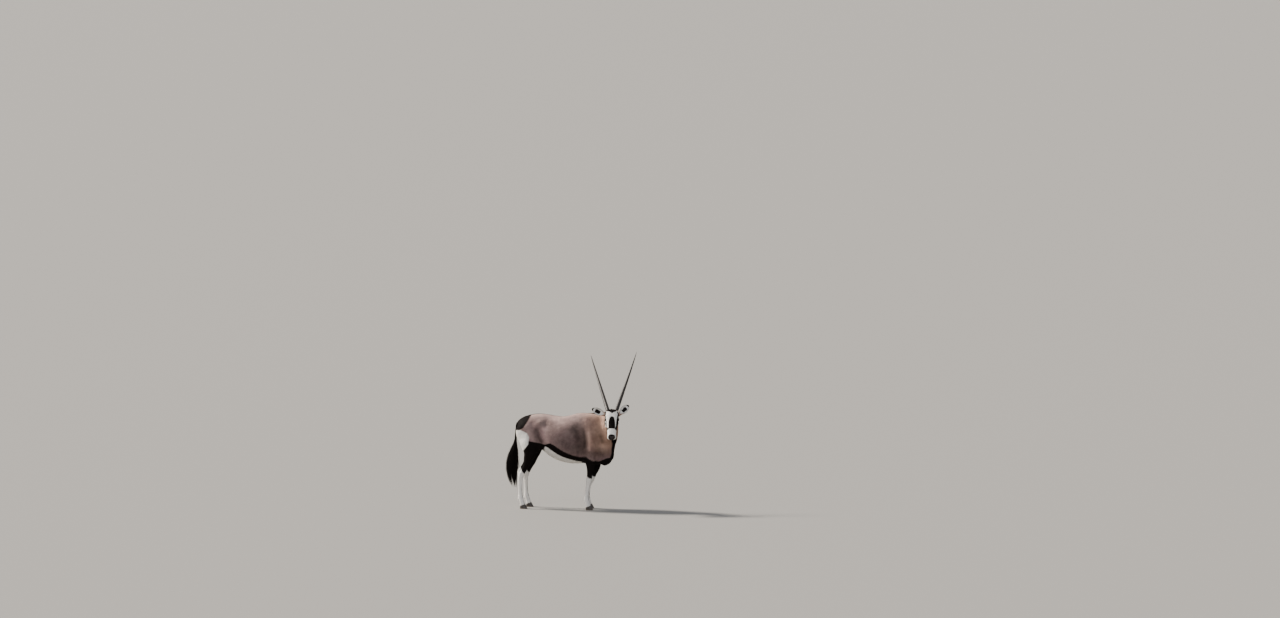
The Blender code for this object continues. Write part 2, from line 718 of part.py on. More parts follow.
HEAD_BOX = ((0.632, -0.70, 0.75), (1.00, 0.20, 1.60))
NECK_BOX = ((0.30, -0.50, 0.55), (1.10, 0.40, 1.60))
NECK_PLANE = [(Vector((0.600, 0, 1.0)), Vector((0.894, 0, 0.447)))]


def head_planes():
    """Behind the skull, and along the valley between jaw and throat."""
    return [
        (at_head(-0.045, 0, -0.02), head_way(0.905, 0, 0.426)),
        (Vector((0.72, -0.150, 1.050)), Vector((0, -0.707, 0.707))),
    ]


def leg_region(leg, grown):
    """What lies below the slanting cut that frees a leg from the trunk."""
    side = side_of(leg)
    if leg.startswith("fore"):
        x0, x1, point, normal = 0.325, 0.527, (0.40, 0.05 * side, 0.550), (0, 0.669 * side, -0.743)
    else:
        x0, x1, point, normal = -0.60, -0.178, (-0.45, 0.05 * side, 0.720), (-0.155, 0.759 * side, -0.632)
    y0, y1 = sorted((0.030 * side, 0.40 * side))
    return region("leg_region", (x0, y0, -0.05), (x1, y1, 1.0), [(point, normal)], grown)


def coronet(leg, out):
    """The coronet's centre and the way out of the leg, for one toe."""
    x, y = toe_rows(leg, out)[-2][:2]
    return Vector((x, y, CORONET_HEIGHT)), Vector((CORONET_SLOPE, 0, -1)).normalized()


def hoof(leg, out):
    """One half of a cloven hoof: a flat sole, a straight inner wall, a curved outer one and a sloping coronet."""
    centre, _ = coronet(leg, out)
    outward_y = side_of(leg) * out
    spread = TOE_SPREAD * outward_y
    steps = 7
    shares = [0.5 - 0.5 * math.cos(math.pi * k / (steps - 1)) for k in range(steps)]

    def sole(height, inset, lengthen):
        ring = []
        for s, wall in [(s, 1.0) for s in shares] + [(s, -HOOF_INNER_SHARE) for s in shares[-2:0:-1]]:
            bulge = HOOF_FULLNESS * s**HOOF_HEEL_BLUNTNESS * (1 - s) ** HOOF_TOE_BLUNTNESS
            wide = HOOF_HALF_WIDTH * bulge * wall
            wide -= inset * wall
            along = -HEEL_BEHIND + inset + (HOOF_LENGTH + lengthen - 2 * inset) * s
            ring.append((along, wide * outward_y, height))
        return ring

    top = []
    for s, wall in [(s, 1.0) for s in shares] + [(s, -1.0) for s in shares[-2:0:-1]]:
        along = CORONET_HALF_LENGTH * (2 * s - 1)
        wide = CORONET_HALF_WIDTH * 2 * math.sqrt(s * (1 - s)) * wall * outward_y
        forward = along * math.cos(spread) - wide * math.sin(spread)
        top.append((along, wide, centre.z + forward * CORONET_SLOPE))
    rings = [sole(0.0, 0.0015, 0.0), sole(0.003, 0.0, 0.0)]
    low = rings[-1]
    for t in (0.35, 0.7):
        rings.append([tuple(a + (b - a) * t for a, b in zip(p, q)) for p, q in zip(low, top)])
    rings.append(top)
    turn = Matrix.Translation((centre.x, centre.y, 0)) @ Matrix.Rotation(spread, 4, "Z")
    return shell("hoof", rings, turn)


# The horn's rings: how many, the share of its length they cover, their height, and how they close up
RING_COUNT = 21
RINGED_SHARE = 0.60
RING_HEIGHT = 0.0013
RING_CLOSING = 0.92
HORN_TAPER = 0.68
HORN_BOW = 0.014


def horn(word):
    """A straight ringed horn that tapers to a smooth tip."""
    base, way = horn_line(word)
    back = head_way(0, 0, -1)
    shares = []
    for k in range(RING_COUNT):
        start, end = (RINGED_SHARE * (j / RING_COUNT) ** RING_CLOSING for j in (k, k + 1))
        shares += [(start, 0.0), (start + (end - start) * 0.55, 1.0 - 0.6 * k / RING_COUNT)]
    shares += [(RINGED_SHARE + (1 - RINGED_SHARE) * k / 7, 0.0) for k in range(8)]
    rings = []
    for t, crest in shares:
        centre = base + way * (HORN_LENGTH * t) + back * (HORN_BOW * math.sin(math.pi * t))
        taper = (HORN_BASE_RADIUS - HORN_TIP_RADIUS) * (1 - t) ** HORN_TAPER
        radius = HORN_TIP_RADIUS + taper + RING_HEIGHT * crest
        across = way.cross(back).normalized()
        fore = across.cross(way)
        ring = []
        for k in range(HORN_SIDES):
            angle = 2 * math.pi * k / HORN_SIDES
            ring.append(centre + across * (radius * math.cos(angle)) + fore * (radius * math.sin(angle)))
        rings.append(ring)
    return shell("horn", rings)


# An ear along its length: share of it, half width, depth of its back, depth of its hollow
EAR = (
    (0.00, 0.0170, 0.0170, -0.0150),
    (0.07, 0.0190, 0.0185, -0.0120),
    (0.15, 0.0240, 0.0230, -0.0020),
    (0.24, 0.0310, 0.0280, 0.0160),
    (0.36, 0.0390, 0.0300, 0.0235),
    (0.50, 0.0440, 0.0280, 0.0230),
    (0.64, 0.0430, 0.0230, 0.0185),
    (0.77, 0.0360, 0.0165, 0.0125),
    (0.89, 0.0235, 0.0100, 0.0066),
    (0.965, 0.0120, 0.0060, 0.0030),
    (1.00, 0.0045, 0.0035, 0.0012),
)
EAR_RIM = 0.0042
EAR_RIM_SHARE = 0.35
EAR_BEND = -0.012


def ear(word):
    """A cupped ear: a filled stalk that opens into a deep cup and closes to a blunt point."""
    base, way, facing = ear_line(word)
    across = way.cross(facing)
    rows = through([(t * EAR_LENGTH, 0, 0, *rest) for t, *rest in EAR], 16)
    rings = []
    for along, _, _, wide, back, hollow in rows:
        rim = min(EAR_RIM, wide * EAR_RIM_SHARE)
        bend = EAR_BEND * (along / EAR_LENGTH) ** 2
        centre = base + way * along + facing * bend
        ring = []
        for k in range(11):
            angle = math.pi * (k / 10 - 0.5)
            ring.append(centre + across * (wide * math.sin(angle)) - facing * (back * math.cos(angle)))
        for k in range(9):
            angle = math.pi * (0.5 - (k + 0.5) / 9)
            ring.append(centre + across * ((wide - rim) * math.sin(angle)) - facing * (hollow * math.cos(angle)))
        rings.append(ring)
    return shell("ear", rings)


def beyond(base, way, wide, reach):
    """A short round cutter that ends a stalk flat, just short of a base."""
    base = Vector(base)
    way = Vector(way).normalized()
    rows = [(*(base + way * t), wide, wide, wide) for t in (-GAP, reach / 2, reach)]
    return loft("beyond", rows, hint=way.orthogonal(), sides=14, rings=3)


def clear_roots(obj):
    """Ends the flesh flat at the roots of the horns and ears."""
    for word in SIDES:
        horn_base, horn_way = horn_line(word)
        ear_base, ear_way, _ = ear_line(word)
        for cutter in (beyond(horn_base, horn_way, 0.030, 0.080), beyond(ear_base, ear_way, 0.025, 0.070)):
            boolean(obj, cutter, "DIFFERENCE")
            drop(cutter)


def dress_head(head):
    """Sockets, lids, nostrils and the line of the mouth, cut into the head."""
    for word, side in SIDES.items():
        eye = mirrored(EYE_AT, side)
        socket = ball("socket", eye, (EYE_RADIUS + GAP,) * 3, matrix=HEAD, segments=EYE_SEGMENTS)
        opening = ball("opening", (eye[0], eye[1] + side * 0.019, eye[2] + 0.001), EYE_OPENING,
                       (0, 14, 10 * side), HEAD, 16)
        nostril = ball("nostril", (0.366, 0.0260 * side, -0.034), (0.0150, 0.0068, 0.0095),
                       (0, 30, 30 * side), HEAD, 12)
        for cutter in (socket, opening, nostril):
            boolean(head, cutter, "DIFFERENCE")
            drop(cutter)
    clear_roots(head)
    path = [(*place, *MOUTH_SLIT) for place in (*MOUTH, MOUTH_FRONT)]
    path += [(x, -y, z, *rest) for x, y, z, *rest in reversed(path[:-1])]
    slit = loft("mouth", path, sides=6, rings=22, matrix=HEAD)
    boolean(head, slit, "DIFFERENCE")
    drop(slit)


def tassel_locks():
    """The tail's long locks, tier over tier, each from the dock out to the tassel's outline and in to its tip."""
    draw = random.Random(11)
    outline = through(TASSEL, 60)
    heights = outline[::-1, 2]
    made = []
    for count, share, roots, tips, half_width in TASSEL_TIERS:
        for k in range(count):
            angle = 2 * math.pi * (k + 0.25 * draw.uniform(-1, 1)) / count
            facing = Vector((math.cos(angle), math.sin(angle), 0))
            root = draw.uniform(*roots)
            tip = draw.uniform(*tips)
            path = []
            for t in np.linspace(0.0, 1.0, LOCK_RINGS):
                z = root + (tip - root) * t
                x, y, _, long, wide, _ = (float(np.interp(z, heights, outline[::-1, i])) for i in range(6))
                out = share * min(1.0, 0.25 + 2.2 * t)
                swing = 0.25 * math.sin(2.4 * t + k) * t
                path.append((
                    x + long * out * math.cos(angle + swing),
                    y + wide * out * math.sin(angle + swing),
                    z,
                ))
            made.append(lock("lock", path, facing, half_width * draw.uniform(0.85, 1.15), LOCK_THICKNESS))
    return made


# The short mane on the neck's crest: plan of the crest, how many locks, and their size
CREST = ((0.628, -0.016), (0.668, -0.046), (0.700, -0.096), (0.716, -0.140), (0.722, -0.158))
MANE_LOCKS = 9
MANE_LOCK_HALF_WIDTH = 0.0150
MANE_LOCK_THICKNESS = 0.0090
MANE_LEAN = 1.15
MANE_LENGTH = 0.040
MANE_ROOT = 0.014


def mane_locks(neck_node):
    """Short upright locks along the crest, each leaning back over the next."""
    draw = random.Random(5)
    crest = through([(x, y, 0) for x, y in CREST], MANE_LOCKS)
    made = []
    for k, (x, y, _) in enumerate(crest):
        hit, place, normal, _ = neck_node.ray_cast(Vector((x, y, 2.0)), Vector((0, 0, -1)))
        if not hit:
            continue
        ahead = Vector(crest[min(k + 1, MANE_LOCKS - 1)]) - Vector(crest[max(k - 1, 0)])
        back = -Vector((ahead.x, ahead.y, 0)).normalized()
        way = (normal + back * MANE_LEAN).normalized()
        across = normal.cross(back).normalized()
        length = MANE_LENGTH * draw.uniform(0.85, 1.1)
        path = []
        for t in np.linspace(0.0, 1.0, 4):
            out = -MANE_ROOT + (length + MANE_ROOT) * t
            path.append(tuple(place + way * out - normal * (0.006 * t * t)))
        made.append(lock("lock", path, across, MANE_LOCK_HALF_WIDTH, MANE_LOCK_THICKNESS))
    return made


def cut_nodes():
    """Parts the flesh into nodes with thin cuts, and adds eyes, ears, horns, hooves and tail."""
    body, head = build_flesh()
    head_cut = region("head_region", *HEAD_BOX, head_planes())
    boolean(head, head_cut, "INTERSECT")
    thin(largest(head), TRIANGLES["head"])
    boolean(head, head_cut, "INTERSECT")
    dress_head(head)
    node(head, "head", "white_coat")
    grown = region("head_region", *HEAD_BOX, head_planes(), GAP)
    boolean(body, grown, "DIFFERENCE")
    drop(head_cut, grown)

    neck_node = copy_of(body, "neck")
    for target, operation, extra in ((neck_node, "INTERSECT", 0.0), (body, "DIFFERENCE", GAP)):
        cutter = region("neck_region", *NECK_BOX, NECK_PLANE, extra)
        boolean(target, cutter, operation)
        drop(cutter)
    clear_roots(neck_node)
    fuse_locks(neck_node, mane_locks(neck_node))
    node(neck_node, "neck", "grey_coat")

    for leg in LEAN:
        limb = copy_of(body, leg)
        cutter = leg_region(leg, 0.0)
        boolean(limb, cutter, "INTERSECT")
        drop(cutter)
        largest(limb)
        for out, toe in ((-1, "inner"), (1, "outer")):
            centre, way = coronet(leg, out)
            low, high = centre - Vector((0.06, 0.0235, 0.08)), centre + Vector((0.07, 0.0235, 0.05))
            cutter = region("coronet", low, high, [(centre, way)], GAP)
            boolean(limb, cutter, "DIFFERENCE")
            drop(cutter)
            node(hoof(leg, out), f"hoof_{leg}_{toe}", "hoof")
        node(limb, leg, "white_coat")
    for leg in LEAN:
        cutter = leg_region(leg, GAP)
        boolean(body, cutter, "DIFFERENCE")
        drop(cutter)

    tail = loft("tail", TAIL, hint=(0, 1, 0), sides=12, rings=20)
    point, way = TAIL_CUT
    cutter = region("tail_region", (-0.75, -0.10, 0.10), (-0.44, 0.10, 1.12), [(point, way)])
    boolean(tail, cutter, "INTERSECT")
    drop(cutter)
    fuse_locks(tail, tassel_locks())
    hollow = [(*row[:3], *(wide + TAIL_CLEARANCE for wide in row[3:])) for row in TAIL[2:6]]
    for cutter in (beyond(point, way, 0.030, 0.040), loft("hollow", hollow, hint=(0, 1, 0), sides=14, rings=12)):
        boolean(body, cutter, "DIFFERENCE")
        drop(cutter)
    node(tail, "tail", "tail_hair")
    node(body, "torso", "grey_coat")

    for word, side in SIDES.items():
        node(horn(word), f"horn_{word}", "horn")
        node(ear(word), f"ear_{word}", "white_coat")
        eye = ball("eye", mirrored(EYE_AT, side), (EYE_RADIUS,) * 3, matrix=HEAD, segments=EYE_SEGMENTS)
        node(eye, f"eye_{word}", "eye")


def centre_model():
    """Sets the middle of the whole model's box over the origin."""
    corners = np.array([vert.co for obj in parts.objects for vert in obj.data.vertices])
    middle = (corners.min(axis=0) + corners.max(axis=0)) / 2
    for obj in parts.objects:
        obj.data.transform(Matrix.Translation((-middle[0], -middle[1], 0.0)))


cut_nodes()
centre_model()
for spare in list(cutters.objects):
    drop(spare)
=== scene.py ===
import math

import bmesh
import bpy
import numpy as np
from mathutils import Matrix, Vector


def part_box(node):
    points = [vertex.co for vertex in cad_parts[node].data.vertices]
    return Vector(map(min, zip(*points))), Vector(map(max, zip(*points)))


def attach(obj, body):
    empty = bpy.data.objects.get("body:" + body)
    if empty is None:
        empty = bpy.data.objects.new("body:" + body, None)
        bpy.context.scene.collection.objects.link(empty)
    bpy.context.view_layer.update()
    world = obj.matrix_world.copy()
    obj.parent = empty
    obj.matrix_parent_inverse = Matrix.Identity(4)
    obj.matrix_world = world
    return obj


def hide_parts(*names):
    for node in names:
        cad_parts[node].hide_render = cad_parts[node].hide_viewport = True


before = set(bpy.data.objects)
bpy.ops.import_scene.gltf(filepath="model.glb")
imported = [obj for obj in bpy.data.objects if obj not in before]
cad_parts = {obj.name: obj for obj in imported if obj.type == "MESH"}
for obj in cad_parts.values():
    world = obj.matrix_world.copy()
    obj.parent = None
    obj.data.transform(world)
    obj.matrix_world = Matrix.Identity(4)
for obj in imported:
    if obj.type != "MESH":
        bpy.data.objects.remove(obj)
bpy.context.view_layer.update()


# The animal's two measuring frames
# The head's frame has its origin at the poll, x to the nose, y to the animal's left and z out of the
# forehead. The trunk's frame is the row frame, moved so that the chest and tail measures below hold.
HEAD_PITCH = math.radians(58.0)
HEAD_YAW = math.radians(10.0)
HEAD_ROLL = math.radians(0.3)
EYE_AT = (0.115, 0.0685, -0.040)
POLL_IN_TRUNK = Vector((0.750, -0.245, 1.262))
SIDES = {"right": -1, "left": 1}


def head_turn():
    forward = Vector((0, -math.cos(HEAD_PITCH), -math.sin(HEAD_PITCH)))
    left = Vector((1, 0, 0))
    turned = Matrix((forward, left, forward.cross(left))).transposed()
    return Matrix.Rotation(-HEAD_ROLL, 3, "Y") @ Matrix.Rotation(HEAD_YAW, 3, "Z") @ turned


HEAD_TURN = head_turn()
eye_corners = [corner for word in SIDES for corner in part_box(f"eye_{word}")]
POLL = sum(eye_corners, Vector()) / len(eye_corners) - HEAD_TURN @ Vector((EYE_AT[0], 0, EYE_AT[2]))
TRUNK = Vector((POLL.x - POLL_IN_TRUNK.x, POLL.y - POLL_IN_TRUNK.y, 0.0))
HEAD_AXES = np.array(HEAD_TURN)


def at_head(x, y, z):
    return POLL + HEAD_TURN @ Vector((x, y, z))


def head_way(x, y, z):
    return (HEAD_TURN @ Vector((x, y, z))).normalized()


# Floor, light and camera
# A pale studio floor, a broad soft light from behind the animal's left and above, a fill in front, and
# a long lens a little above the animal's back, which keeps the photograph's framing.
PICTURE_WIDTH = 15.84
PICTURE_CENTRE = (1.027, 2.48)
CAMERA_DISTANCE = 60.0
CAMERA_AZIMUTH = math.radians(12.0)
CAMERA_ELEVATION = math.radians(4.0)
FLOOR_SIZE = 4000.0


def plain(name, colour, roughness):
    made = bpy.data.materials.new(name)
    made.use_nodes = True
    shader = made.node_tree.nodes["Principled BSDF"]
    shader.inputs["Base Color"].default_value = (*colour, 1.0)
    shader.inputs["Roughness"].default_value = roughness
    return made


def new_object(name, mesh):
    made = bpy.data.objects.new(name, mesh)
    bpy.context.scene.collection.objects.link(made)
    return made


floor_mesh = bpy.data.meshes.new("floor")
bm = bmesh.new()
bmesh.ops.create_grid(bm, x_segments=1, y_segments=1, size=FLOOR_SIZE / 2)
bm.to_mesh(floor_mesh)
bm.free()
floor = new_object("floor", floor_mesh)
floor_mesh.materials.append(plain("pale_floor", (0.235, 0.226, 0.210), 0.9))

world = bpy.data.worlds.new("studio")
world.use_nodes = True
world.node_tree.nodes["Background"].inputs["Color"].default_value = (0.90, 0.93, 1.0, 1.0)
world.node_tree.nodes["Background"].inputs["Strength"].default_value = 0.56
bpy.context.scene.world = world

# Each lamp: name, the way its light comes from, how wide it looks in degrees, strength, colour
LAMPS = (
    ("key", (-0.80, 0.12, 0.62), 8.0, 10.2, (1.0, 0.93, 0.84)),
    ("fill", (0.15, -1.0, 0.50), 60.0, 1.00, (0.90, 0.93, 1.0)),
)
for name, way, width, strength, colour in LAMPS:
    lamp = bpy.data.lights.new(name, "SUN")
    lamp.angle = math.radians(width)
    lamp.energy = strength
    lamp.color = colour
    lamp_object = bpy.data.objects.new(name, lamp)
    lamp_object.rotation_euler = Vector(way).to_track_quat("Z", "Y").to_euler()
    bpy.context.scene.collection.objects.link(lamp_object)

camera_data = bpy.data.cameras.new("camera")
camera_data.lens = camera_data.sensor_width * CAMERA_DISTANCE / PICTURE_WIDTH
camera_data.clip_end = 2 * FLOOR_SIZE
camera = bpy.data.objects.new("camera", camera_data)
across = Vector((math.cos(CAMERA_AZIMUTH), math.sin(CAMERA_AZIMUTH), 0))
back = Vector((
    math.sin(CAMERA_AZIMUTH) * math.cos(CAMERA_ELEVATION),
    -math.cos(CAMERA_AZIMUTH) * math.cos(CAMERA_ELEVATION),
    math.sin(CAMERA_ELEVATION),
))
aim = TRUNK + across * PICTURE_CENTRE[0] + Vector((0, 0, PICTURE_CENTRE[1]))
camera.location = aim + back * CAMERA_DISTANCE
camera.rotation_euler = back.to_track_quat("Z", "Y").to_euler()
bpy.context.scene.collection.objects.link(camera)
bpy.context.scene.camera = camera


# Skin
# The whole hide in one closed surface over head, neck, trunk and legs, drawn from the fixed solids, set in
# by the depth of the coat and shaped with lids, nostrils, lips, folds and the lines of muscle and bone.
SKIN_VOXEL = 0.0088
BRIDGE = 0.0007
COAT_DEPTH = 0.0030
FACE_COAT_DEPTH = 0.0010
FLESH = ("head", "neck", "torso", "foreleg_left", "foreleg_right", "hindleg_left", "hindleg_right")
EYE_RADIUS = 0.0195
LID_THICKNESS = 0.0015
LID_CORNERS = (-0.0165, 0.0178)
LID_HEIGHTS = (0.0098, -0.0080)
NOSTRIL = ((0.3805, 0.0120, -0.0490), (0.3785, 0.0195, -0.0415), (0.3710, 0.0275, -0.0345),
           (0.3600, 0.0330, -0.0300), (0.3480, 0.0355, -0.0310))
LIPS = ((0.270, 0.0560, -0.0905), (0.309, 0.0545, -0.0845), (0.342, 0.0500, -0.0810), (0.366, 0.0350, -0.0790),
        (0.376, 0.0150, -0.0775), (0.378, 0.0000, -0.0770))

# Lines drawn into the skin: a path in the trunk's frame, how wide and how far out, mirrored on both sides
MUSCLE_LINES = (
    ([(0.345, 0.10, 1.10), (0.325, 0.19, 0.95), (0.335, 0.21, 0.82), (0.350, 0.19, 0.70)], 0.034, -0.0130),
    ([(0.400, 0.10, 1.12), (0.425, 0.17, 0.96), (0.440, 0.18, 0.80), (0.430, 0.17, 0.70)], 0.024, 0.0095),
    ([(0.470, 0.12, 1.05), (0.490, 0.17, 0.92), (0.500, 0.17, 0.80)], 0.020, -0.0065),
    ([(0.520, 0.10, 1.08), (0.570, 0.13, 0.97), (0.600, 0.12, 0.88)], 0.024, -0.0070),
    ([(0.500, 0.17, 0.77), (0.430, 0.19, 0.70), (0.370, 0.18, 0.655)], 0.020, -0.0060),
    ([(0.560, 0.12, 0.80), (0.520, 0.14, 0.72), (0.470, 0.15, 0.66)], 0.026, 0.0060),
    ([(0.395, 0.155, 0.74), (0.420, 0.16, 0.66), (0.425, 0.155, 0.58)], 0.015, -0.0045),
    ([(-0.178, 0.17, 1.085)], 0.036, 0.0100),
    ([(-0.085, 0.12, 1.15), (-0.095, 0.19, 1.06)], 0.034, -0.0090),
    ([(-0.260, 0.16, 1.08), (-0.330, 0.19, 0.99)], 0.035, -0.0045),
    ([(-0.405, 0.11, 1.02), (-0.415, 0.14, 0.90), (-0.385, 0.16, 0.77)], 0.017, -0.0075),
    ([(-0.335, 0.19, 0.95), (-0.345, 0.20, 0.86), (-0.330, 0.20, 0.78)], 0.030, 0.0055),
    ([(-0.205, 0.18, 0.98), (-0.190, 0.18, 0.88), (-0.175, 0.17, 0.81)], 0.022, -0.0105),
    ([(-0.236, 0.17, 0.745)], 0.030, 0.0075),
    ([(-0.290, 0.175, 0.72), (-0.330, 0.165, 0.65), (-0.360, 0.155, 0.59)], 0.014, -0.0045),
    ([(-0.395, 0.145, 0.555), (-0.428, 0.140, 0.500), (-0.440, 0.138, 0.465)], 0.0095, -0.0075),
    ([(-0.395, 0.100, 0.555), (-0.428, 0.100, 0.500), (-0.440, 0.100, 0.465)], 0.0095, -0.0075),
    ([(-0.436, 0.139, 0.36), (-0.440, 0.137, 0.19)], 0.0055, -0.0035),
    ([(-0.436, 0.098, 0.36), (-0.440, 0.098, 0.19)], 0.0055, -0.0035),
    ([(0.620, 0.045, 0.90), (0.650, 0.03, 0.78), (0.640, 0.02, 0.66)], 0.020, -0.0060),
    ([(-0.110, 0.16, 0.84), (-0.160, 0.15, 0.78)], 0.020, 0.0060),
    ([(0.020, 0.17, 0.76), (-0.060, 0.17, 0.82), (-0.120, 0.17, 0.90)], 0.030, -0.0050),
    ([(0.16, 0.10, 1.15), (0.00, 0.10, 1.14), (-0.12, 0.10, 1.155)], 0.030, -0.0045),
)

# Folds of the bent neck on its inner, right side only
NECK_FOLDS = (
    ([(0.552, -0.13, 1.13), (0.579, -0.15, 0.975), (0.613, -0.13, 0.872)], 0.019, 0.0125),
    ([(0.505, -0.13, 1.10), (0.530, -0.16, 0.97), (0.565, -0.15, 0.88)], 0.018, -0.0120),
    ([(0.610, -0.12, 1.16), (0.640, -0.15, 1.03), (0.665, -0.14, 0.93)], 0.016, -0.0085),
    ([(0.640, -0.13, 1.18), (0.672, -0.16, 1.06), (0.695, -0.15, 0.98)], 0.013, 0.0065),
    ([(0.668, -0.16, 1.20), (0.695, -0.20, 1.10), (0.710, -0.20, 1.03)], 0.011, -0.0060),
    ([(0.470, -0.15, 1.02), (0.500, -0.17, 0.90), (0.530, -0.15, 0.80)], 0.014, 0.0050),
)
RIBS = 8

# The underside of the jaw, share by share along the head, and the plan of the neck's crest
JAW_LINE = ((-0.065, -0.140), (0.050, -0.170), (0.107, -0.195), (0.150, -0.185), (0.199, -0.162), (0.252, -0.140),
            (0.40, -0.118))
CREST = ((0.736, -0.205), (0.728, -0.176), (0.716, -0.140), (0.700, -0.096), (0.668, -0.046), (0.628, -0.016),
         (0.560, 0.000), (0.480, 0.000), (0.390, 0.000))

# Lines of the head in the head's frame, the left side's, mirrored
FACE_LINES = (
    ([(0.060, 0.080, -0.018), (0.105, 0.085, -0.014), (0.150, 0.074, -0.020)], 0.011, 0.0030),
    ([(0.030, 0.074, -0.060), (0.062, 0.082, -0.078), (0.095, 0.080, -0.092)], 0.016, -0.0035),
    ([(0.155, 0.078, -0.062), (0.215, 0.068, -0.066), (0.262, 0.060, -0.066)], 0.010, 0.0028),
    ([(0.150, 0.078, -0.088), (0.210, 0.067, -0.092), (0.255, 0.060, -0.088)], 0.012, -0.0036),
    ([(0.155, 0.060, -0.135), (0.128, 0.068, -0.100)], 0.012, -0.0030),
    ([(0.165, 0.045, -0.010), (0.230, 0.040, -0.008), (0.295, 0.033, -0.010)], 0.010, 0.0020),
    ([(0.312, 0.046, -0.050), (0.334, 0.044, -0.055), (0.354, 0.041, -0.052)], 0.007, -0.0022),
    ([(0.354, 0.047, -0.067), (0.322, 0.056, -0.073), (0.290, 0.058, -0.080)], 0.008, 0.0026),
    ([(0.374, 0.020, -0.089), (0.347, 0.040, -0.092), (0.318, 0.048, -0.096)], 0.007, 0.0022),
    ([(0.300, 0.0, 0.000), (0.345, 0.0, -0.010), (0.368, 0.0, -0.024)], 0.008, -0.0020),
    ([(0.060, 0.0, 0.008), (0.100, 0.0, 0.008)], 0.024, -0.0030),
    ([(0.165, 0.070, -0.040), (0.190, 0.064, -0.036)], 0.014, -0.0034),
    ([(0.325, 0.030, -0.014), (0.345, 0.032, -0.020)], 0.012, 0.0030),
    ([(0.270, 0.045, -0.030), (0.310, 0.044, -0.034)], 0.013, -0.0028),
)


def settled(obj):
    """The object with its modifiers baked into its mesh."""
    graph = bpy.context.evaluated_depsgraph_get()
    graph.update()
    mesh = bpy.data.meshes.new_from_object(obj.evaluated_get(graph))
    obj.modifiers.clear()
    old = obj.data
    obj.data = mesh
    bpy.data.meshes.remove(old)
    return obj


def points_of(mesh):
    found = np.empty(len(mesh.vertices) * 3, np.float32)
    mesh.vertices.foreach_get("co", found)
    return found.reshape(-1, 3).astype(float)


def normals_of(mesh):
    found = np.empty(len(mesh.vertices) * 3, np.float32)
    mesh.vertex_normals.foreach_get("vector", found)
    return found.reshape(-1, 3).astype(float)


def edges_of(mesh):
    found = np.empty(len(mesh.edges) * 2, np.int32)
    mesh.edges.foreach_get("vertices", found)
    return found.reshape(-1, 2)


def set_points(mesh, points):
    mesh.vertices.foreach_set("co", np.ascontiguousarray(points, np.float32).ravel())
    mesh.update()


def spread(values, edges):
    """The mean of each point's neighbours."""
    count = np.bincount(edges.ravel(), minlength=len(values))
    total = np.empty_like(values)
    for i in range(values.shape[1]):
        total[:, i] = np.bincount(edges[:, 0], values[edges[:, 1], i], len(values))
        total[:, i] += np.bincount(edges[:, 1], values[edges[:, 0], i], len(values))
    return total / np.maximum(count, 1)[:, None]


def relaxed(points, edges, rounds, weight=1.0):
    """Points evened out without thinning the form: drawn to their neighbours, then back."""
    weight = np.broadcast_to(np.asarray(weight, float), len(points))[:, None]
    for _ in range(rounds):
        for factor in (0.55, -0.57):
            points = points + weight * factor * (spread(points, edges) - points)
    return points


def ramp(value, low, high):
    """Zero below low, one above high, smooth between."""
    t = np.clip((np.asarray(value, float) - low) / (high - low), 0, 1)
    return t * t * (3 - 2 * t)


def in_head(points):
    return (points - np.array(POLL)) @ HEAD_AXES


def in_trunk(points):
    return points - np.array(TRUNK)


def both(points):
    """Points of both sides laid over the left one."""
    return points * (1, 0, 1) + np.abs(points) * (0, 1, 0)


def path_gap(points, path):
    """How far each point is from a path."""
    path = np.array(path, float)
    if len(path) == 1:
        return np.linalg.norm(points - path[0], axis=1)
    best = np.full(len(points), 9.0)
    for a, b in zip(path[:-1], path[1:]):
        way = b - a
        t = np.clip((points - a) @ way / (way @ way), 0, 1)
        best = np.minimum(best, np.linalg.norm(points - a - t[:, None] * way, axis=1))
    return best


def drawn(points, normals, lines, places):
    """Points moved out or in along lines, each a path, a width and a distance."""
    for path, width, out in lines:
        path = np.array(path, float)
        bend = np.linspace(0, len(path) - 1, 4 * len(path) - 3) if len(path) > 1 else np.zeros(1)
        smooth = np.stack([np.interp(bend, range(len(path)), path[:, i]) for i in range(3)], axis=1)
        gap = path_gap(places, smooth)
        points = points + normals * (out * np.exp(-((gap / width) ** 2)))[:, None]
    return points


def one_surface(name, nodes, grown, voxel):
    """One even surface over the fixed solids of some nodes, each a little grown so that they join."""
    bm = bmesh.new()
    for word in nodes:
        bm_node = bmesh.new()
        bm_node.from_mesh(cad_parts[word].data)
        bmesh.ops.remove_doubles(bm_node, verts=bm_node.verts, dist=1e-5)
        bm_node.normal_update()
        for vert in bm_node.verts:
            vert.co += vert.normal * grown
        mesh = bpy.data.meshes.new(word)
        bm_node.to_mesh(mesh)
        bm_node.free()
        bm.from_mesh(mesh)
        bpy.data.meshes.remove(mesh)
    mesh = bpy.data.meshes.new(name)
    bm.to_mesh(mesh)
    bm.free()
    obj = new_object(name, mesh)
    remesh = obj.modifiers.new("one_surface", "REMESH")
    remesh.mode = "VOXEL"
    remesh.voxel_size = voxel
    return settled(obj)


def finer(mesh, inside, rounds):
    """Splits the faces whose points pass a test, and evens out what was split."""
    keep = inside(points_of(mesh))
    bm = bmesh.new()
    bm.from_mesh(mesh)
    edges = [edge for edge in bm.edges if keep[edge.verts[0].index] and keep[edge.verts[1].index]]
    bmesh.ops.subdivide_edges(bm, edges=edges, cuts=1, use_grid_fill=True)
    bm.to_mesh(mesh)
    bm.free()
    points = points_of(mesh)
    set_points(mesh, relaxed(points, edges_of(mesh), rounds, inside(points) * 1.0))


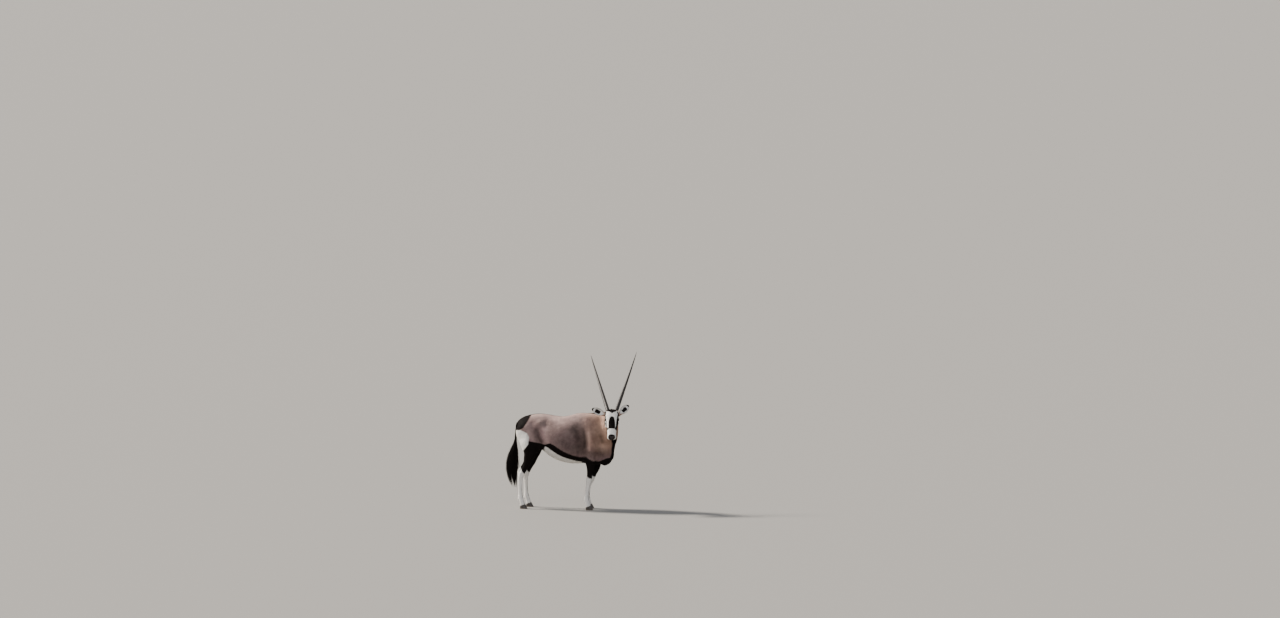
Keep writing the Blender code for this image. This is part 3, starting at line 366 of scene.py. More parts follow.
def eye_axes(side):
    """Ways from an eye's centre, in the head's frame: along the lids to the nose, up, and out."""
    gaze = np.array((0.30, side * 0.94, 0.10))
    gaze /= np.linalg.norm(gaze)
    along = np.array((math.cos(math.radians(14)), 0, -math.sin(math.radians(14))))
    along -= gaze * (along @ gaze)
    along /= np.linalg.norm(along)
    return along, np.cross(gaze, along) * side * -1, gaze


def lid_outline():
    """The opening between the lids, on the plane across the gaze."""
    low, high = LID_CORNERS
    middle, half = (low + high) / 2, (high - low) / 2
    t = np.linspace(-1, 1, 25)
    upper = np.stack([middle + half * t, LID_HEIGHTS[0] * (1 - t**2) ** 0.75], axis=1)
    lower = np.stack([middle + half * t, LID_HEIGHTS[1] * (1 - t**2) ** 0.90], axis=1)
    return np.vstack([upper, lower[-2:0:-1]])


def outline_edge(places, outline):
    """The signed distance from a closed outline, negative inside."""
    ends = np.roll(outline, -1, axis=0)
    best = np.full(len(places), 9.0)
    inside = np.zeros(len(places), bool)
    for a, b in zip(outline, ends):
        way = b - a
        t = np.clip((places - a) @ way / (way @ way), 0, 1)
        best = np.minimum(best, np.linalg.norm(places - a - t[:, None] * way, axis=1))
        crossed = (a[1] > places[:, 1]) != (b[1] > places[:, 1])
        with np.errstate(divide="ignore", invalid="ignore"):
            reach = a[0] + (places[:, 1] - a[1]) / (b[1] - a[1]) * way[0]
        inside ^= crossed & (places[:, 0] < reach)
    return np.where(inside, -best, best)


def eye_places(head_points, side):
    """Where points lie round an eye: along, up and out from its centre, the reach, and the lids' edge."""
    away = head_points - np.array((EYE_AT[0], EYE_AT[1] * side, EYE_AT[2]))
    local = away @ np.array(eye_axes(side)).T
    reach = np.maximum(np.linalg.norm(local, axis=1), 1e-6)
    flat = local[:, :2] * (EYE_RADIUS / reach)[:, None]
    return local, reach, outline_edge(flat, lid_outline())


def with_lids(head_points, side):
    """The skin drawn over the eyeball as two lids round an opening."""
    local, reach, edge = eye_places(head_points, side)
    rim = EYE_RADIUS + LID_THICKNESS * ramp(edge, -0.0013, 0.0004) - 0.006 * ramp(-edge, 0.0002, 0.0022)
    rim += 0.0010 * np.exp(-(((edge - 0.0022) / 0.0016) ** 2))
    rim -= 0.0014 * np.exp(-(((edge - 0.0068) / 0.0016) ** 2)) * (local[:, 1] > 0)
    rim -= 0.0008 * np.exp(-(((edge - 0.0075) / 0.0018) ** 2)) * (local[:, 1] <= 0)
    hold = (1 - ramp(edge, 0.0060, 0.0150)) * ramp(local[:, 2], -0.001, 0.006)
    wanted = reach + (rim - reach) * hold
    away = (head_points - np.array((EYE_AT[0], EYE_AT[1] * side, EYE_AT[2]))) * (wanted / reach)[:, None]
    near = reach < 0.045
    moved = head_points.copy()
    moved[near] = (np.array((EYE_AT[0], EYE_AT[1] * side, EYE_AT[2])) + away)[near]
    return moved


skin = one_surface("skin", (*FLESH, "eye_left", "eye_right"), BRIDGE, SKIN_VOXEL)
skin_points = points_of(skin.data)
skin_edges = edges_of(skin.data)
places = in_trunk(skin_points)

# The fixed solids' mane locks are smoothed away, since the mane below is made of hair
flat_places = places * (1, 1, 0)
crest_weight = 1 - ramp(path_gap(flat_places, [(*spot, 0) for spot in CREST]), 0.030, 0.055)
crest_weight *= places[:, 2] > 1.10
for _ in range(70):
    skin_points += 0.5 * crest_weight[:, None] * (spread(skin_points, skin_edges) - skin_points)
low_legs = ramp(places[:, 2], 0.10, 0.55)
skin_points = relaxed(skin_points, skin_edges, 40, 0.25 + 0.75 * low_legs)
set_points(skin.data, skin_points)

# The coat's depth, less on the face and the feet
normals = normals_of(skin.data)
face = ramp(in_head(skin_points)[:, 0], -0.05, 0.05) * (in_trunk(skin_points)[:, 0] > 0.6)
depth = COAT_DEPTH + (FACE_COAT_DEPTH - COAT_DEPTH) * np.maximum(face, 1 - ramp(skin_points[:, 2], 0.2, 0.6))
skin_points = skin_points - normals * depth[:, None]

# Muscle, bone and folds of the body
places = in_trunk(skin_points)
skin_points = drawn(skin_points, normals, MUSCLE_LINES, both(places))
skin_points = drawn(skin_points, normals, NECK_FOLDS, places)
rib_lines = [
    ([(x + 0.02, 0.12, 1.06), (x - 0.02, 0.23, 0.92), (x - 0.035, 0.24, 0.80), (x - 0.01, 0.20, 0.69)], 0.011, 0.0020)
    for x in np.linspace(0.00, 0.29, RIBS)
]
skin_points = drawn(skin_points, normals, rib_lines, both(places))
set_points(skin.data, skin_points)


def on_head(points):
    """Which points are the head's, and not the neck's or chest's behind and below it."""
    x, y, z = in_head(points).T
    underside = np.interp(x, *np.array(JAW_LINE).T)
    return (x > -0.065) & (x < 0.43) & (np.abs(y) < 0.118) & (z > underside)


def on_face(points):
    place = both(in_head(points))
    eye = np.linalg.norm(place - np.array(EYE_AT), axis=1)
    return on_head(points) & ((eye < 0.046) | (place[:, 0] > 0.270))


def on_rims(points):
    place = both(in_head(points))
    eye = (np.linalg.norm(place - np.array(EYE_AT), axis=1) < 0.032) & (place[:, 1] > 0.070)
    return on_head(points) & (eye | (path_gap(place, NOSTRIL) < 0.020) | (path_gap(place, LIPS) < 0.0075))


finer(skin.data, on_head, 6)
finer(skin.data, on_face, 4)
finer(skin.data, on_rims, 3)
finer(skin.data, lambda points: points[:, 2] < 0.165, 3)
skin_points = points_of(skin.data)
normals = normals_of(skin.data)
head_places = in_head(skin_points)
skin_points = drawn(skin_points, normals, FACE_LINES, both(head_places))
skin_points = drawn(skin_points, normals, [(NOSTRIL, 0.0110, 0.0042), (NOSTRIL, 0.0052, -0.0200)], both(head_places))
skin_points = drawn(skin_points, normals, [(LIPS, 0.0060, 0.0018), (LIPS, 0.0026, -0.0068)], both(head_places))
skin_points = drawn(skin_points, normals, [([(0.386, 0, -0.050), (0.382, 0, -0.072)], 0.0026, -0.0030)], head_places)
head_places = in_head(skin_points)
for side in SIDES.values():
    head_places = with_lids(head_places, side)
near_head = on_head(skin_points)
skin_points[near_head] = (head_places @ HEAD_AXES.T + np.array(POLL))[near_head]
set_points(skin.data, skin_points)


# Markings
# The black, white and warm fields of the coat. Each is told by its distance from its edge, negative inside,
# so that skin and hair take the same fields. Sides are drawn in the trunk's frame, the face in the head's.
FLANK_BAND = (
    (-0.115, 0.805), (-0.078, 0.818), (-0.030, 0.831), (0.023, 0.806), (0.096, 0.755), (0.168, 0.719),
    (0.242, 0.686), (0.362, 0.656), (0.415, 0.655), (0.470, 0.618), (0.470, 0.575), (0.411, 0.590), (0.290, 0.607),
    (0.168, 0.642), (0.072, 0.682), (-0.010, 0.733), (-0.074, 0.778), (-0.115, 0.788),
)
THIGH = (
    (-0.316, 0.852), (-0.235, 0.835), (-0.155, 0.818), (-0.105, 0.808), (-0.105, 0.785), (-0.150, 0.700),
    (-0.300, 0.400), (-0.385, 0.435), (-0.415, 0.475), (-0.440, 0.530), (-0.470, 0.600), (-0.430, 0.700),
    (-0.395, 0.735), (-0.315, 0.810),
)
RUMP = ((-0.290, 1.30), (-0.310, 1.155), (-0.340, 1.075), (-0.385, 1.010), (-0.450, 0.980), (-0.60, 0.980), (-0.60, 1.30))
BUTTOCK = (
    (-0.600, 0.985), (-0.470, 0.985), (-0.400, 0.975), (-0.335, 0.945), (-0.312, 0.900), (-0.312, 0.810),
    (-0.395, 0.735), (-0.430, 0.700), (-0.455, 0.620), (-0.600, 0.620),
)
FOREARM = ((0.335, 0.664), (0.375, 0.672), (0.405, 0.672), (0.440, 0.648), (0.490, 0.622), (0.545, 0.606),
           (0.560, 0.560), (0.560, 0.470), (0.480, 0.392), (0.440, 0.400), (0.400, 0.432), (0.335, 0.465))
THROAT = (
    ([(0.729, -0.217, 1.053), (0.734, -0.181, 1.003), (0.753, -0.132, 0.929), (0.747, -0.046, 0.826),
      (0.715, -0.010, 0.72), (0.665, 0, 0.60)], (0.034, 0.034, 0.034, 0.036, 0.046, 0.065)),
)
EYE_STRIPE = (
    [(-0.012, 0, -0.030), (0.045, 0, -0.036), (0.112, 0, -0.038), (0.165, 0, -0.066), (0.215, 0, -0.096),
     (0.250, 0, -0.118)],
    (0.010, 0.014, 0.019, 0.019, 0.020, 0.018),
)
JAW_STRIPE = ([(0.040, 0, -0.078), (0.056, 0, -0.120), (0.086, 0, -0.160), (0.110, 0, -0.184)],
              (0.010, 0.012, 0.014, 0.016))
CHIN_STRIPE = ([(0.250, 0.040, -0.130), (0.240, 0.020, -0.145), (0.180, 0.0, -0.165), (0.090, 0.0, -0.185)],
               (0.016, 0.016, 0.020, 0.026))
SIDE_OF_FACE = 0.012
NOSTRIL_DARK = (0.0130, 0.0135, 0.0130, 0.0115, 0.0085)
NOSE_PAD = ([(0.366, 0.0, -0.034), (0.381, 0.0, -0.052), (0.380, 0.0, -0.076)], (0.008, 0.016, 0.009))
NOSE_BAND = ((0.329, 0.000), (0.331, 0.016), (0.336, 0.030), (0.346, 0.043), (0.364, 0.042), (0.378, 0.030),
             (0.388, 0.012), (0.388, -0.012), (0.378, -0.030), (0.364, -0.042), (0.346, -0.043), (0.336, -0.030),
             (0.331, -0.016))
# The eye stripes' inner edges, the left one nearer the middle of the face: a real black stripe, widened with painted
# shade on the face's shaded left side
SIDE_STRIPE = {
    1: ((-0.020, 0.078), (0.030, 0.071), (0.080, 0.062), (0.165, 0.054), (0.215, 0.050), (0.246, 0.043),
        (0.262, 0.036), (0.268, 0.12), (-0.020, 0.12)),
    -1: ((-0.020, 0.084), (0.030, 0.079), (0.080, 0.073), (0.165, 0.064), (0.215, 0.058), (0.246, 0.048),
         (0.262, 0.040), (0.268, 0.12), (-0.020, 0.12)),
}
EAR_LINE = ([(0.040, 0.082, -0.070), (0.070, 0.086, -0.052), (0.105, 0.086, -0.045)], (0.011, 0.009, 0.010))
BLAZE = ((0.088, 0.000), (0.096, 0.018), (0.118, 0.031), (0.160, 0.039), (0.215, 0.042), (0.254, 0.043),
         (0.256, 0.0), (0.254, -0.043), (0.215, -0.042), (0.160, -0.039), (0.118, -0.031), (0.096, -0.018))
CROWN = ((-0.130, 0.080), (-0.018, 0.076), (0.010, 0.056), (0.024, 0.036), (0.034, 0.018), (0.050, 0.000),
         (0.034, -0.018), (0.024, -0.036), (0.010, -0.056), (-0.018, -0.076), (-0.130, -0.080))
BRIDGE_STRIPE = ([(0.247, 0.040, -0.016), (0.250, 0.054, -0.040), (0.252, 0.060, -0.070), (0.245, 0.062, -0.100)],
                 (0.010, 0.008, 0.008, 0.010))
CANNON_FRONTS = (
    [(0.427, -0.113, 0.235), (0.421, -0.112, 0.180), (0.423, -0.112, 0.130)],
    [(0.395, 0.113, 0.235), (0.386, 0.112, 0.180), (0.387, 0.112, 0.130)],
    [(-0.416, -0.118, 0.310), (-0.418, -0.118, 0.230), (-0.414, -0.117, 0.140)],
    [(-0.403, 0.118, 0.310), (-0.401, 0.118, 0.230), (-0.394, 0.117, 0.140)],
)
CANNON_RADII = (0.004, 0.0105, 0.0095)


def stroke(places, path, radii):
    """The signed distance from a brush stroke whose width changes along a path."""
    path = np.array(path, float)
    best = np.full(len(places), 9.0)
    for a, b, ra, rb in zip(path[:-1], path[1:], radii[:-1], radii[1:]):
        way = b - a
        t = np.clip((places - a) @ way / (way @ way), 0, 1)
        best = np.minimum(best, np.linalg.norm(places - a - t[:, None] * way, axis=1) - (ra + (rb - ra) * t))
    return best


def along_side(places, outline):
    """The signed distance from an outline drawn on the animal's side."""
    return outline_edge(places[:, [0, 2]], np.array(outline))


def black_edge(points):
    place = in_trunk(points)
    x, y, z = place.T
    side = both(place)
    head = both(in_head(points))
    crest = path_gap(place * (1, 1, 0), [(*spot, 0) for spot in CREST]) - 0.011
    spine = np.where(x > 0.40, crest, np.abs(y) - 0.010 - 0.022 * ramp(-x, 0.14, 0.30))
    fields = [
        along_side(side, FLANK_BAND),
        np.maximum(along_side(side, THIGH), 0.050 - side[:, 1]),
        np.maximum(along_side(side, FOREARM), 0.030 - side[:, 1]),
        np.maximum.reduce([z - 0.594 - 0.060 * ramp(x, 0.50, 0.70), 0.405 - x, 0.50 - z, np.abs(y) - 0.11]),
        np.maximum(spine, 1.06 + 0.10 * ramp(x, 0.48, 0.62) - z),
        along_side(side, RUMP),
        stroke(place, *THROAT[0]),
    ]
    fields += [stroke(place, path, CANNON_RADII) for path in CANNON_FRONTS]
    flat = head * (1, 0, 1)
    is_left = in_head(points)[:, 1] > 0
    # The eye stripe painted wider on the left side of the face, as shade on the side turned from the light
    shaded_side_widening = np.where(is_left, 0.0095, 0.0030) * ramp(head[:, 0], -0.02, 0.03)
    along_eyes = [outline_edge(head[:, :2], np.array(SIDE_STRIPE[side])) for side in (-1, 1)]
    face = [
        np.maximum(np.minimum(stroke(flat, *EYE_STRIPE) - shaded_side_widening, stroke(flat, *JAW_STRIPE)), SIDE_OF_FACE - head[:, 1]),
        np.maximum(np.where(is_left, along_eyes[1], along_eyes[0]), -0.078 - head[:, 2]),
        stroke(head, *CHIN_STRIPE),
        stroke(head, *EAR_LINE),
        stroke(head, *BRIDGE_STRIPE),
        np.maximum(outline_edge(head[:, :2], np.array(BLAZE)), -0.045 - head[:, 2]),
        np.maximum(outline_edge(head[:, :2], np.array(CROWN)), -0.060 - head[:, 2]),
        stroke(head, NOSTRIL, NOSTRIL_DARK),
        stroke(head, *NOSE_PAD),
        np.maximum(outline_edge(head[:, :2], np.array(NOSE_BAND)), -0.050 - head[:, 2]),
        stroke(head, LIPS, (0.0025, 0.0035, 0.0055, 0.0080, 0.0090, 0.0090)),
    ]
    behind = np.where((head[:, 0] > -0.135) & (head[:, 2] > -0.21) & (x > 0.60), -9.0, 9.0)
    return np.minimum(np.minimum.reduce(fields), np.maximum(np.minimum.reduce(face), behind))


def white_edge(points):
    place = in_trunk(points)
    x, y, z = place.T
    side = both(place)
    under = np.array([(point[0], point[1]) for point in reversed(FLANK_BAND[10:])])
    belly_top = np.interp(x, under[:, 0], under[:, 1], left=0.790, right=0.570)
    belly = np.maximum(z - belly_top - 0.004, np.maximum(x - 0.42, -0.34 - x))
    groin = np.maximum(np.maximum(side[:, 1] - 0.075, z - 0.84), np.maximum(x + 0.10, 0.60 - z))
    shins = np.minimum(z - 0.55, 9.0)
    head = in_head(points)
    cheek = np.interp(head[:, 0], (0.030, 0.060, 0.095, 0.120), (-0.060, -0.120, -0.168, -0.21)) - head[:, 2]
    face = np.maximum(0.010 - head[:, 0], cheek) + np.where(on_head(points), 0.0, 9.0)
    return np.minimum.reduce([belly, groin, along_side(side, BUTTOCK), shins, face])


def warmth(points):
    """How far the coat turns from grey to warm tan: on the neck and the front of the shoulder."""
    x, y, z = in_trunk(points).T
    return ramp(x, 0.22, 0.66) * ramp(z, 0.60, 0.85)


# Painted light and shade of the grey coat, on both sides, then on the bent neck's right side alone: paler where
# ridges and the back catch the light, darker in shaded hollows; each a path, its width and how much paler it is
PAINTED_SHADING_LINES = (
    ([(-0.30, 0.04, 1.16), (-0.10, 0.04, 1.16), (0.20, 0.04, 1.18), (0.46, 0.04, 1.20)], 0.085, 0.62),
    ([(0.00, 0.10, 1.13), (0.10, 0.15, 1.08), (0.20, 0.17, 1.07), (0.30, 0.14, 1.12)], 0.055, 0.40),
    ([(-0.085, 0.15, 1.15), (-0.095, 0.18, 1.08)], 0.042, -0.50),
    ([(-0.215, 0.18, 0.98), (-0.205, 0.18, 0.90), (-0.165, 0.17, 0.85)], 0.038, -0.42),
    ([(-0.110, 0.20, 1.00), (-0.105, 0.20, 0.93), (-0.075, 0.20, 0.86)], 0.046, 0.85),
    ([(-0.35, 0.17, 1.05), (-0.32, 0.18, 0.96), (-0.29, 0.19, 0.88)], 0.045, 0.55),
    ([(0.26, 0.20, 1.02), (0.31, 0.21, 0.95), (0.345, 0.20, 0.85), (0.360, 0.19, 0.74)], 0.072, -0.62),
    ([(0.375, 0.16, 1.00), (0.395, 0.18, 0.92), (0.402, 0.18, 0.80)], 0.022, -0.40),
    ([(0.14, 0.23, 0.84), (0.24, 0.22, 0.78)], 0.075, -0.40),
    ([(0.405, 0.12, 1.10), (0.432, 0.16, 0.98)], 0.026, 0.50),
    ([(0.440, 0.17, 0.96), (0.455, 0.18, 0.86), (0.450, 0.17, 0.76)], 0.020, 0.85),
    ([(0.53, 0.16, 0.98), (0.55, 0.15, 0.86), (0.56, 0.14, 0.76)], 0.036, -0.22),
    ([(0.60, 0.10, 0.70), (0.54, 0.13, 0.71), (0.48, 0.15, 0.70)], 0.045, -0.52),
)
NECK_PAINTED_SHADING = (
    ([(0.57, -0.12, 1.14), (0.625, -0.15, 1.02), (0.665, -0.14, 0.90)], 0.026, 0.62),
    ([(0.500, -0.15, 1.12), (0.545, -0.16, 1.00), (0.575, -0.16, 0.90)], 0.017, -0.42),
    ([(0.585, -0.15, 0.93), (0.607, -0.14, 0.85)], 0.022, -0.38),
    ([(0.640, -0.13, 1.12), (0.680, -0.15, 1.02)], 0.013, -0.35),
    ([(0.600, -0.13, 0.81), (0.660, -0.10, 0.79)], 0.028, 0.30),
    ([(0.520, -0.15, 1.09), (0.560, -0.16, 1.03)], 0.014, 0.35),
)


# Painted light and shade: each point made paler by the lit ridges and darker by the shaded hollows near it
def painted_shading(points):
    place = in_trunk(points)
    total = np.zeros(len(points))
    for places, lines in ((both(place), PAINTED_SHADING_LINES), (place, NECK_PAINTED_SHADING)):
        for path, width, paler in lines:
            total += paler * np.exp(-((path_gap(places, path) / width) ** 2))
    return np.clip(total, -0.80, 1.30)


def give(mesh, name, values):
    """Stores one number or one direction for each point."""
    values = np.ascontiguousarray(values, np.float32)
    kind, key = ("FLOAT", "value") if values.ndim == 1 else ("FLOAT_VECTOR", "vector")
    mesh.attributes.new(name, kind, "POINT").data.foreach_set(key, values.ravel())


# Lie of the coat
# Hair lies back along the trunk, down the neck and the legs and up the face. Each length of the body has an
# axis, which gives the lie and the unwrap round it.
def head_point(x, y, z):
    return tuple(at_head(x, y, z) - TRUNK)


AXES = {
    "trunk": ([(0.640, 0, 0.86), (0.40, 0, 0.90), (0.10, 0, 0.875), (-0.25, 0, 0.95), (-0.44, 0, 0.95),
               (-0.48, 0, 0.86), (-0.49, 0, 0.74)], 0.23),
    "neck": ([(0.730, -0.235, 1.19), (0.722, -0.172, 1.160), (0.706, -0.108, 1.126), (0.674, -0.046, 1.074),
              (0.612, -0.006, 1.000), (0.575, 0, 0.92)], 0.125),
    "head": ([head_point(0.41, 0, -0.065), head_point(0.25, 0, -0.070), head_point(0.10, 0, -0.075),
              head_point(-0.03, 0, -0.075)], 0.085),
}
LEG_LINES = {
    "foreleg_left": [(0.462, 0.120, 0.700), (0.470, 0.126, 0.55), (0.440, 0.119, 0.42), (0.408, 0.115, 0.345),
                     (0.374, 0.113, 0.235), (0.362, 0.112, 0.150), (0.384, 0.112, 0.05)],
    "foreleg_right": [(0.440, -0.120, 0.700), (0.445, -0.126, 0.55), (0.432, -0.118, 0.42), (0.424, -0.115, 0.345),
                      (0.406, -0.113, 0.235), (0.398, -0.112, 0.150), (0.420, -0.112, 0.05)],
    "hindleg_left": [(-0.290, 0.120, 0.760), (-0.332, 0.130, 0.64), (-0.386, 0.124, 0.50), (-0.424, 0.120, 0.41),
                     (-0.424, 0.118, 0.27), (-0.416, 0.117, 0.150), (-0.395, 0.117, 0.05)],
    "hindleg_right": [(-0.290, -0.120, 0.760), (-0.332, -0.130, 0.64), (-0.390, -0.124, 0.50),
                      (-0.432, -0.120, 0.41), (-0.439, -0.118, 0.27), (-0.438, -0.117, 0.150), (-0.415, -0.117, 0.05)],
}
AXES.update({name: (path, 0.075) for name, path in LEG_LINES.items()})


def along_axis(places, path):
    """For each point: how far from an axis, the way along it, the length to there and the turn round it."""
    path = np.array(path, float)
    lengths = np.concatenate([[0], np.cumsum(np.linalg.norm(np.diff(path, axis=0), axis=1))])
    best = np.full(len(places), 9.0)
    way_here = np.zeros((len(places), 3))
    length_here = np.zeros(len(places))
    foot = np.zeros((len(places), 3))
    for a, b, start in zip(path[:-1], path[1:], lengths):
        span = np.linalg.norm(b - a)
        way = (b - a) / span
        t = np.clip((places - a) @ way, 0, span)
        at = a + t[:, None] * way
        gap = np.linalg.norm(places - at, axis=1)
        closer = gap < best
        best[closer] = gap[closer]
        way_here[closer] = way
        length_here[closer] = (start + t)[closer]
        foot[closer] = at[closer]
    away = places - foot
    across = np.cross(way_here, (0, 1, 0))
    across /= np.maximum(np.linalg.norm(across, axis=1), 1e-6)[:, None]
    other = np.cross(way_here, across)
    turn = np.arctan2((away * other).sum(1), (away * across).sum(1)) / (2 * math.pi) + 0.5
    return best, way_here, length_here / lengths[-1], turn


def lie_of(points, normals, edges):
    """The way the coat lies at each point of the skin, and the length of body that the point belongs to."""
    places = in_trunk(points)
    total = np.zeros_like(points)
    ratios = []
    unwraps = []
    for path, radius in AXES.values():
        gap, way, length, turn = along_axis(places, path)
        ratio = gap / radius
        total += way * np.exp(-6 * ratio)[:, None]
        ratios.append(ratio)
        unwraps.append(np.stack([turn, length], axis=1))
    part = np.argmin(np.array(ratios), axis=0)
    unwrap = np.array(unwraps)[part, np.arange(len(points))]
    total[:, 2] -= 0.22 * np.linalg.norm(total, axis=1) * (part == 0)
    total /= np.maximum(np.linalg.norm(total, axis=1), 1e-9)[:, None]
    for _ in range(30):
        total = 0.4 * total + 0.6 * spread(total, edges)
    total -= normals * (total * normals).sum(1)[:, None]
    return total / np.maximum(np.linalg.norm(total, axis=1), 1e-9)[:, None], part, unwrap


skin_normals = normals_of(skin.data)
skin_edges = edges_of(skin.data)
skin_lie, skin_part, skin_unwrap = lie_of(skin_points, skin_normals, skin_edges)


def leather(points):
    """How bare and leathery the nose is: round the nostrils, but not in them."""
    head = both(in_head(points))
    top = 0.350 - 8.0 * head[:, 1] ** 2
    pad = np.maximum(outline_edge(head[:, :2], np.array(NOSE_BAND)) + 0.004, -0.074 - head[:, 2])
    pad = np.maximum(pad, top - head[:, 0])
    return (1 - ramp(pad, -0.005, 0.002)) * ramp(path_gap(head, NOSTRIL), 0.0050, 0.0085) * on_head(points)


def mark(mesh, points):
    give(mesh, "black_edge", black_edge(points))
    give(mesh, "white_edge", white_edge(points))
    give(mesh, "warmth", warmth(points))
    # the painted light and shade field
    give(mesh, "painted_shading", painted_shading(points))


mark(skin.data, skin_points)
give(skin.data, "leather", leather(skin_points))
give(skin.data, "tip", np.full(len(skin_points), 0.3))
give(skin.data, "own", np.full(len(skin_points), 0.5))


# Finish of the coat
# Short glossy hair: grey to warm tan, near black and white, ragged where two colours meet, darker at the
# roots and paler at the tips, with a painted highlight along the top of the back and painted light and shade over the
# body.
COLOURS = {
    "cool": (0.165, 0.107, 0.104, 1),
    # the pale colours serve both random patches and the painted highlight along the back
    "cool_pale": (0.285, 0.208, 0.186, 1),
    "warm": (0.262, 0.156, 0.112, 1),
    "warm_pale": (0.415, 0.272, 0.200, 1),
    "white": (0.840, 0.805, 0.750, 1),
    "black": (0.0065, 0.0045, 0.0042, 1),
    "leather": (0.040, 0.033, 0.031, 1),
}


def add(tree, kind, inputs=(), **settings):
    """A shader node with its settings and its inputs, each a value or the socket that feeds it."""
    made = tree.nodes.new(kind)
    for key, value in settings.items():
        setattr(made, key, value)
    for key, value in dict(inputs).items():
        if isinstance(value, bpy.types.NodeSocket):
            tree.links.new(value, made.inputs[key])
        else:
            made.inputs[key].default_value = value
    return made


def mixed(tree, share, first, second, blend="MIX"):
    return add(tree, "ShaderNodeMix", {0: share, 6: first, 7: second}, data_type="RGBA", blend_type=blend).outputs[2]


def number(tree, name):
    return add(tree, "ShaderNodeAttribute", attribute_name=name).outputs["Fac"]


def ranged(tree, value, low, high, to_low, to_high):
    return add(tree, "ShaderNodeMapRange",
               {"Value": value, "From Min": low, "From Max": high, "To Min": to_low, "To Max": to_high}).outputs[0]


def noise(tree, place, scale, detail=3.0, rough=0.55):
    return add(tree, "ShaderNodeTexNoise",
               {"Vector": place, "Scale": scale, "Detail": detail, "Roughness": rough}).outputs["Fac"]


def maths(tree, operation, first, second=0.0):
    return add(tree, "ShaderNodeMath", {0: first, 1: second}, operation=operation).outputs[0]


def shaded(tree, colour, depth):
    """A colour made darker or paler by a number round one."""
    grey = add(tree, "ShaderNodeCombineXYZ", {0: depth, 1: depth, 2: depth}).outputs[0]
    return mixed(tree, 1.0, colour, grey, "MULTIPLY")


def new_finish(name, roughness, specular=0.5):
    """A material, its node tree, its shader and the object's own places."""
    made = bpy.data.materials.new(name)
    made.use_nodes = True
    tree = made.node_tree
    shader = tree.nodes["Principled BSDF"]
    shader.inputs["Roughness"].default_value = roughness
    shader.inputs["Specular IOR Level"].default_value = specular
    return made, tree, shader, add(tree, "ShaderNodeTexCoord").outputs["Object"]


def streaked(tree, attribute, along, across):
    """Noise drawn out along a piece's own length."""
    place = add(tree, "ShaderNodeAttribute", attribute_name=attribute).outputs["Vector"]
    return noise(tree, add(tree, "ShaderNodeMapping", {"Vector": place, "Scale": (across, along, 1.0)}).outputs[0], 1.0)


def bumped(tree, shader, height, strength, distance):
    bump = add(tree, "ShaderNodeBump", {"Height": height, "Strength": strength, "Distance": distance})
    tree.links.new(bump.outputs[0], shader.inputs["Normal"])


def coat_finish(name, ragged, streak):
    """The hair's finish: how far the colours' edges wander, and how deep its streaks are."""
    made, tree, shader, place = new_finish(name, 0.74, 0.05)
    wander = ranged(tree, noise(tree, place, 140.0), 0.3, 0.7, -ragged, ragged)

    def field(attribute):
        moved = maths(tree, "ADD", number(tree, attribute), wander)
        return ranged(tree, moved, 0.0020, -0.0020, 0.0, 1.0)

    # Random patches of paler coat, and the coat painted paler higher up the back as a highlight of light from above
    height = add(tree, "ShaderNodeSeparateXYZ", {0: place}).outputs[2]
    patches = maths(tree, "ADD", ranged(tree, noise(tree, place, 7.0, 5.0), 0.35, 0.65, 0.0, 0.55),
                    ranged(tree, height, 0.92, 1.16, 0.0, 0.45))
    cool = mixed(tree, patches, COLOURS["cool"], COLOURS["cool_pale"])
    warm = mixed(tree, patches, COLOURS["warm"], COLOURS["warm_pale"])
    ground = mixed(tree, number(tree, "warmth"), cool, warm)
    # The coat lightened and darkened by the painted light and shade field, with random mottle on top
    mottle = ranged(tree, noise(tree, place, 24.0, 5.0, 0.7), 0.3, 0.7, -0.15, 0.15)
    ground = shaded(tree, ground, ranged(tree, maths(tree, "ADD", number(tree, "painted_shading"), mottle), -0.9, 1.3, 0.1, 2.3))
    pale = mixed(tree, field("white_edge"), ground, COLOURS["white"])
    full = mixed(tree, field("black_edge"), pale, COLOURS["black"])
    full = mixed(tree, number(tree, "leather"), full, COLOURS["leather"])
    tree.links.new(ranged(tree, number(tree, "leather"), 0.0, 1.0, 0.74, 0.40), shader.inputs["Roughness"])
    streaks = streaked(tree, "strand", 90.0, 900.0)
    depth = maths(tree, "ADD", ranged(tree, streaks, 0.25, 0.75, 1 - streak, 1 + streak * 0.6),
                  ranged(tree, number(tree, "own"), 0.0, 1.0, -0.15, 0.15))
    depth = maths(tree, "MULTIPLY", depth, ranged(tree, number(tree, "tip"), 0.0, 1.0, 0.82, 1.10))
    tree.links.new(shaded(tree, full, depth), shader.inputs["Base Color"])
    bumped(tree, shader, streaks, 0.4, 0.0010)
    return made


SKIN_FINISH = coat_finish("hide", 0.0035, 0.30)
HAIR_FINISH = coat_finish("coat_hair", 0.0010, 0.0)
give(skin.data, "strand", np.column_stack([skin_unwrap * (0.6, 1.2), np.zeros(len(skin_points))]))
skin.data.materials.clear()
skin.data.materials.append(SKIN_FINISH)
skin.data.shade_smooth()
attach(skin, "root")
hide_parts(*FLESH)


# Coat
# Flat tufts of short hair over the whole skin, each rooted in it and lying over the next: thin, about
# 16 mm long on the trunk and shortest on the face and feet.
PATCH = 0.003
TUFT_WIDTH = 0.145
TUFT_SINK = 0.0008


def unit(vectors):
    return vectors / np.maximum(np.linalg.norm(vectors, axis=-1), 1e-9)[..., None]


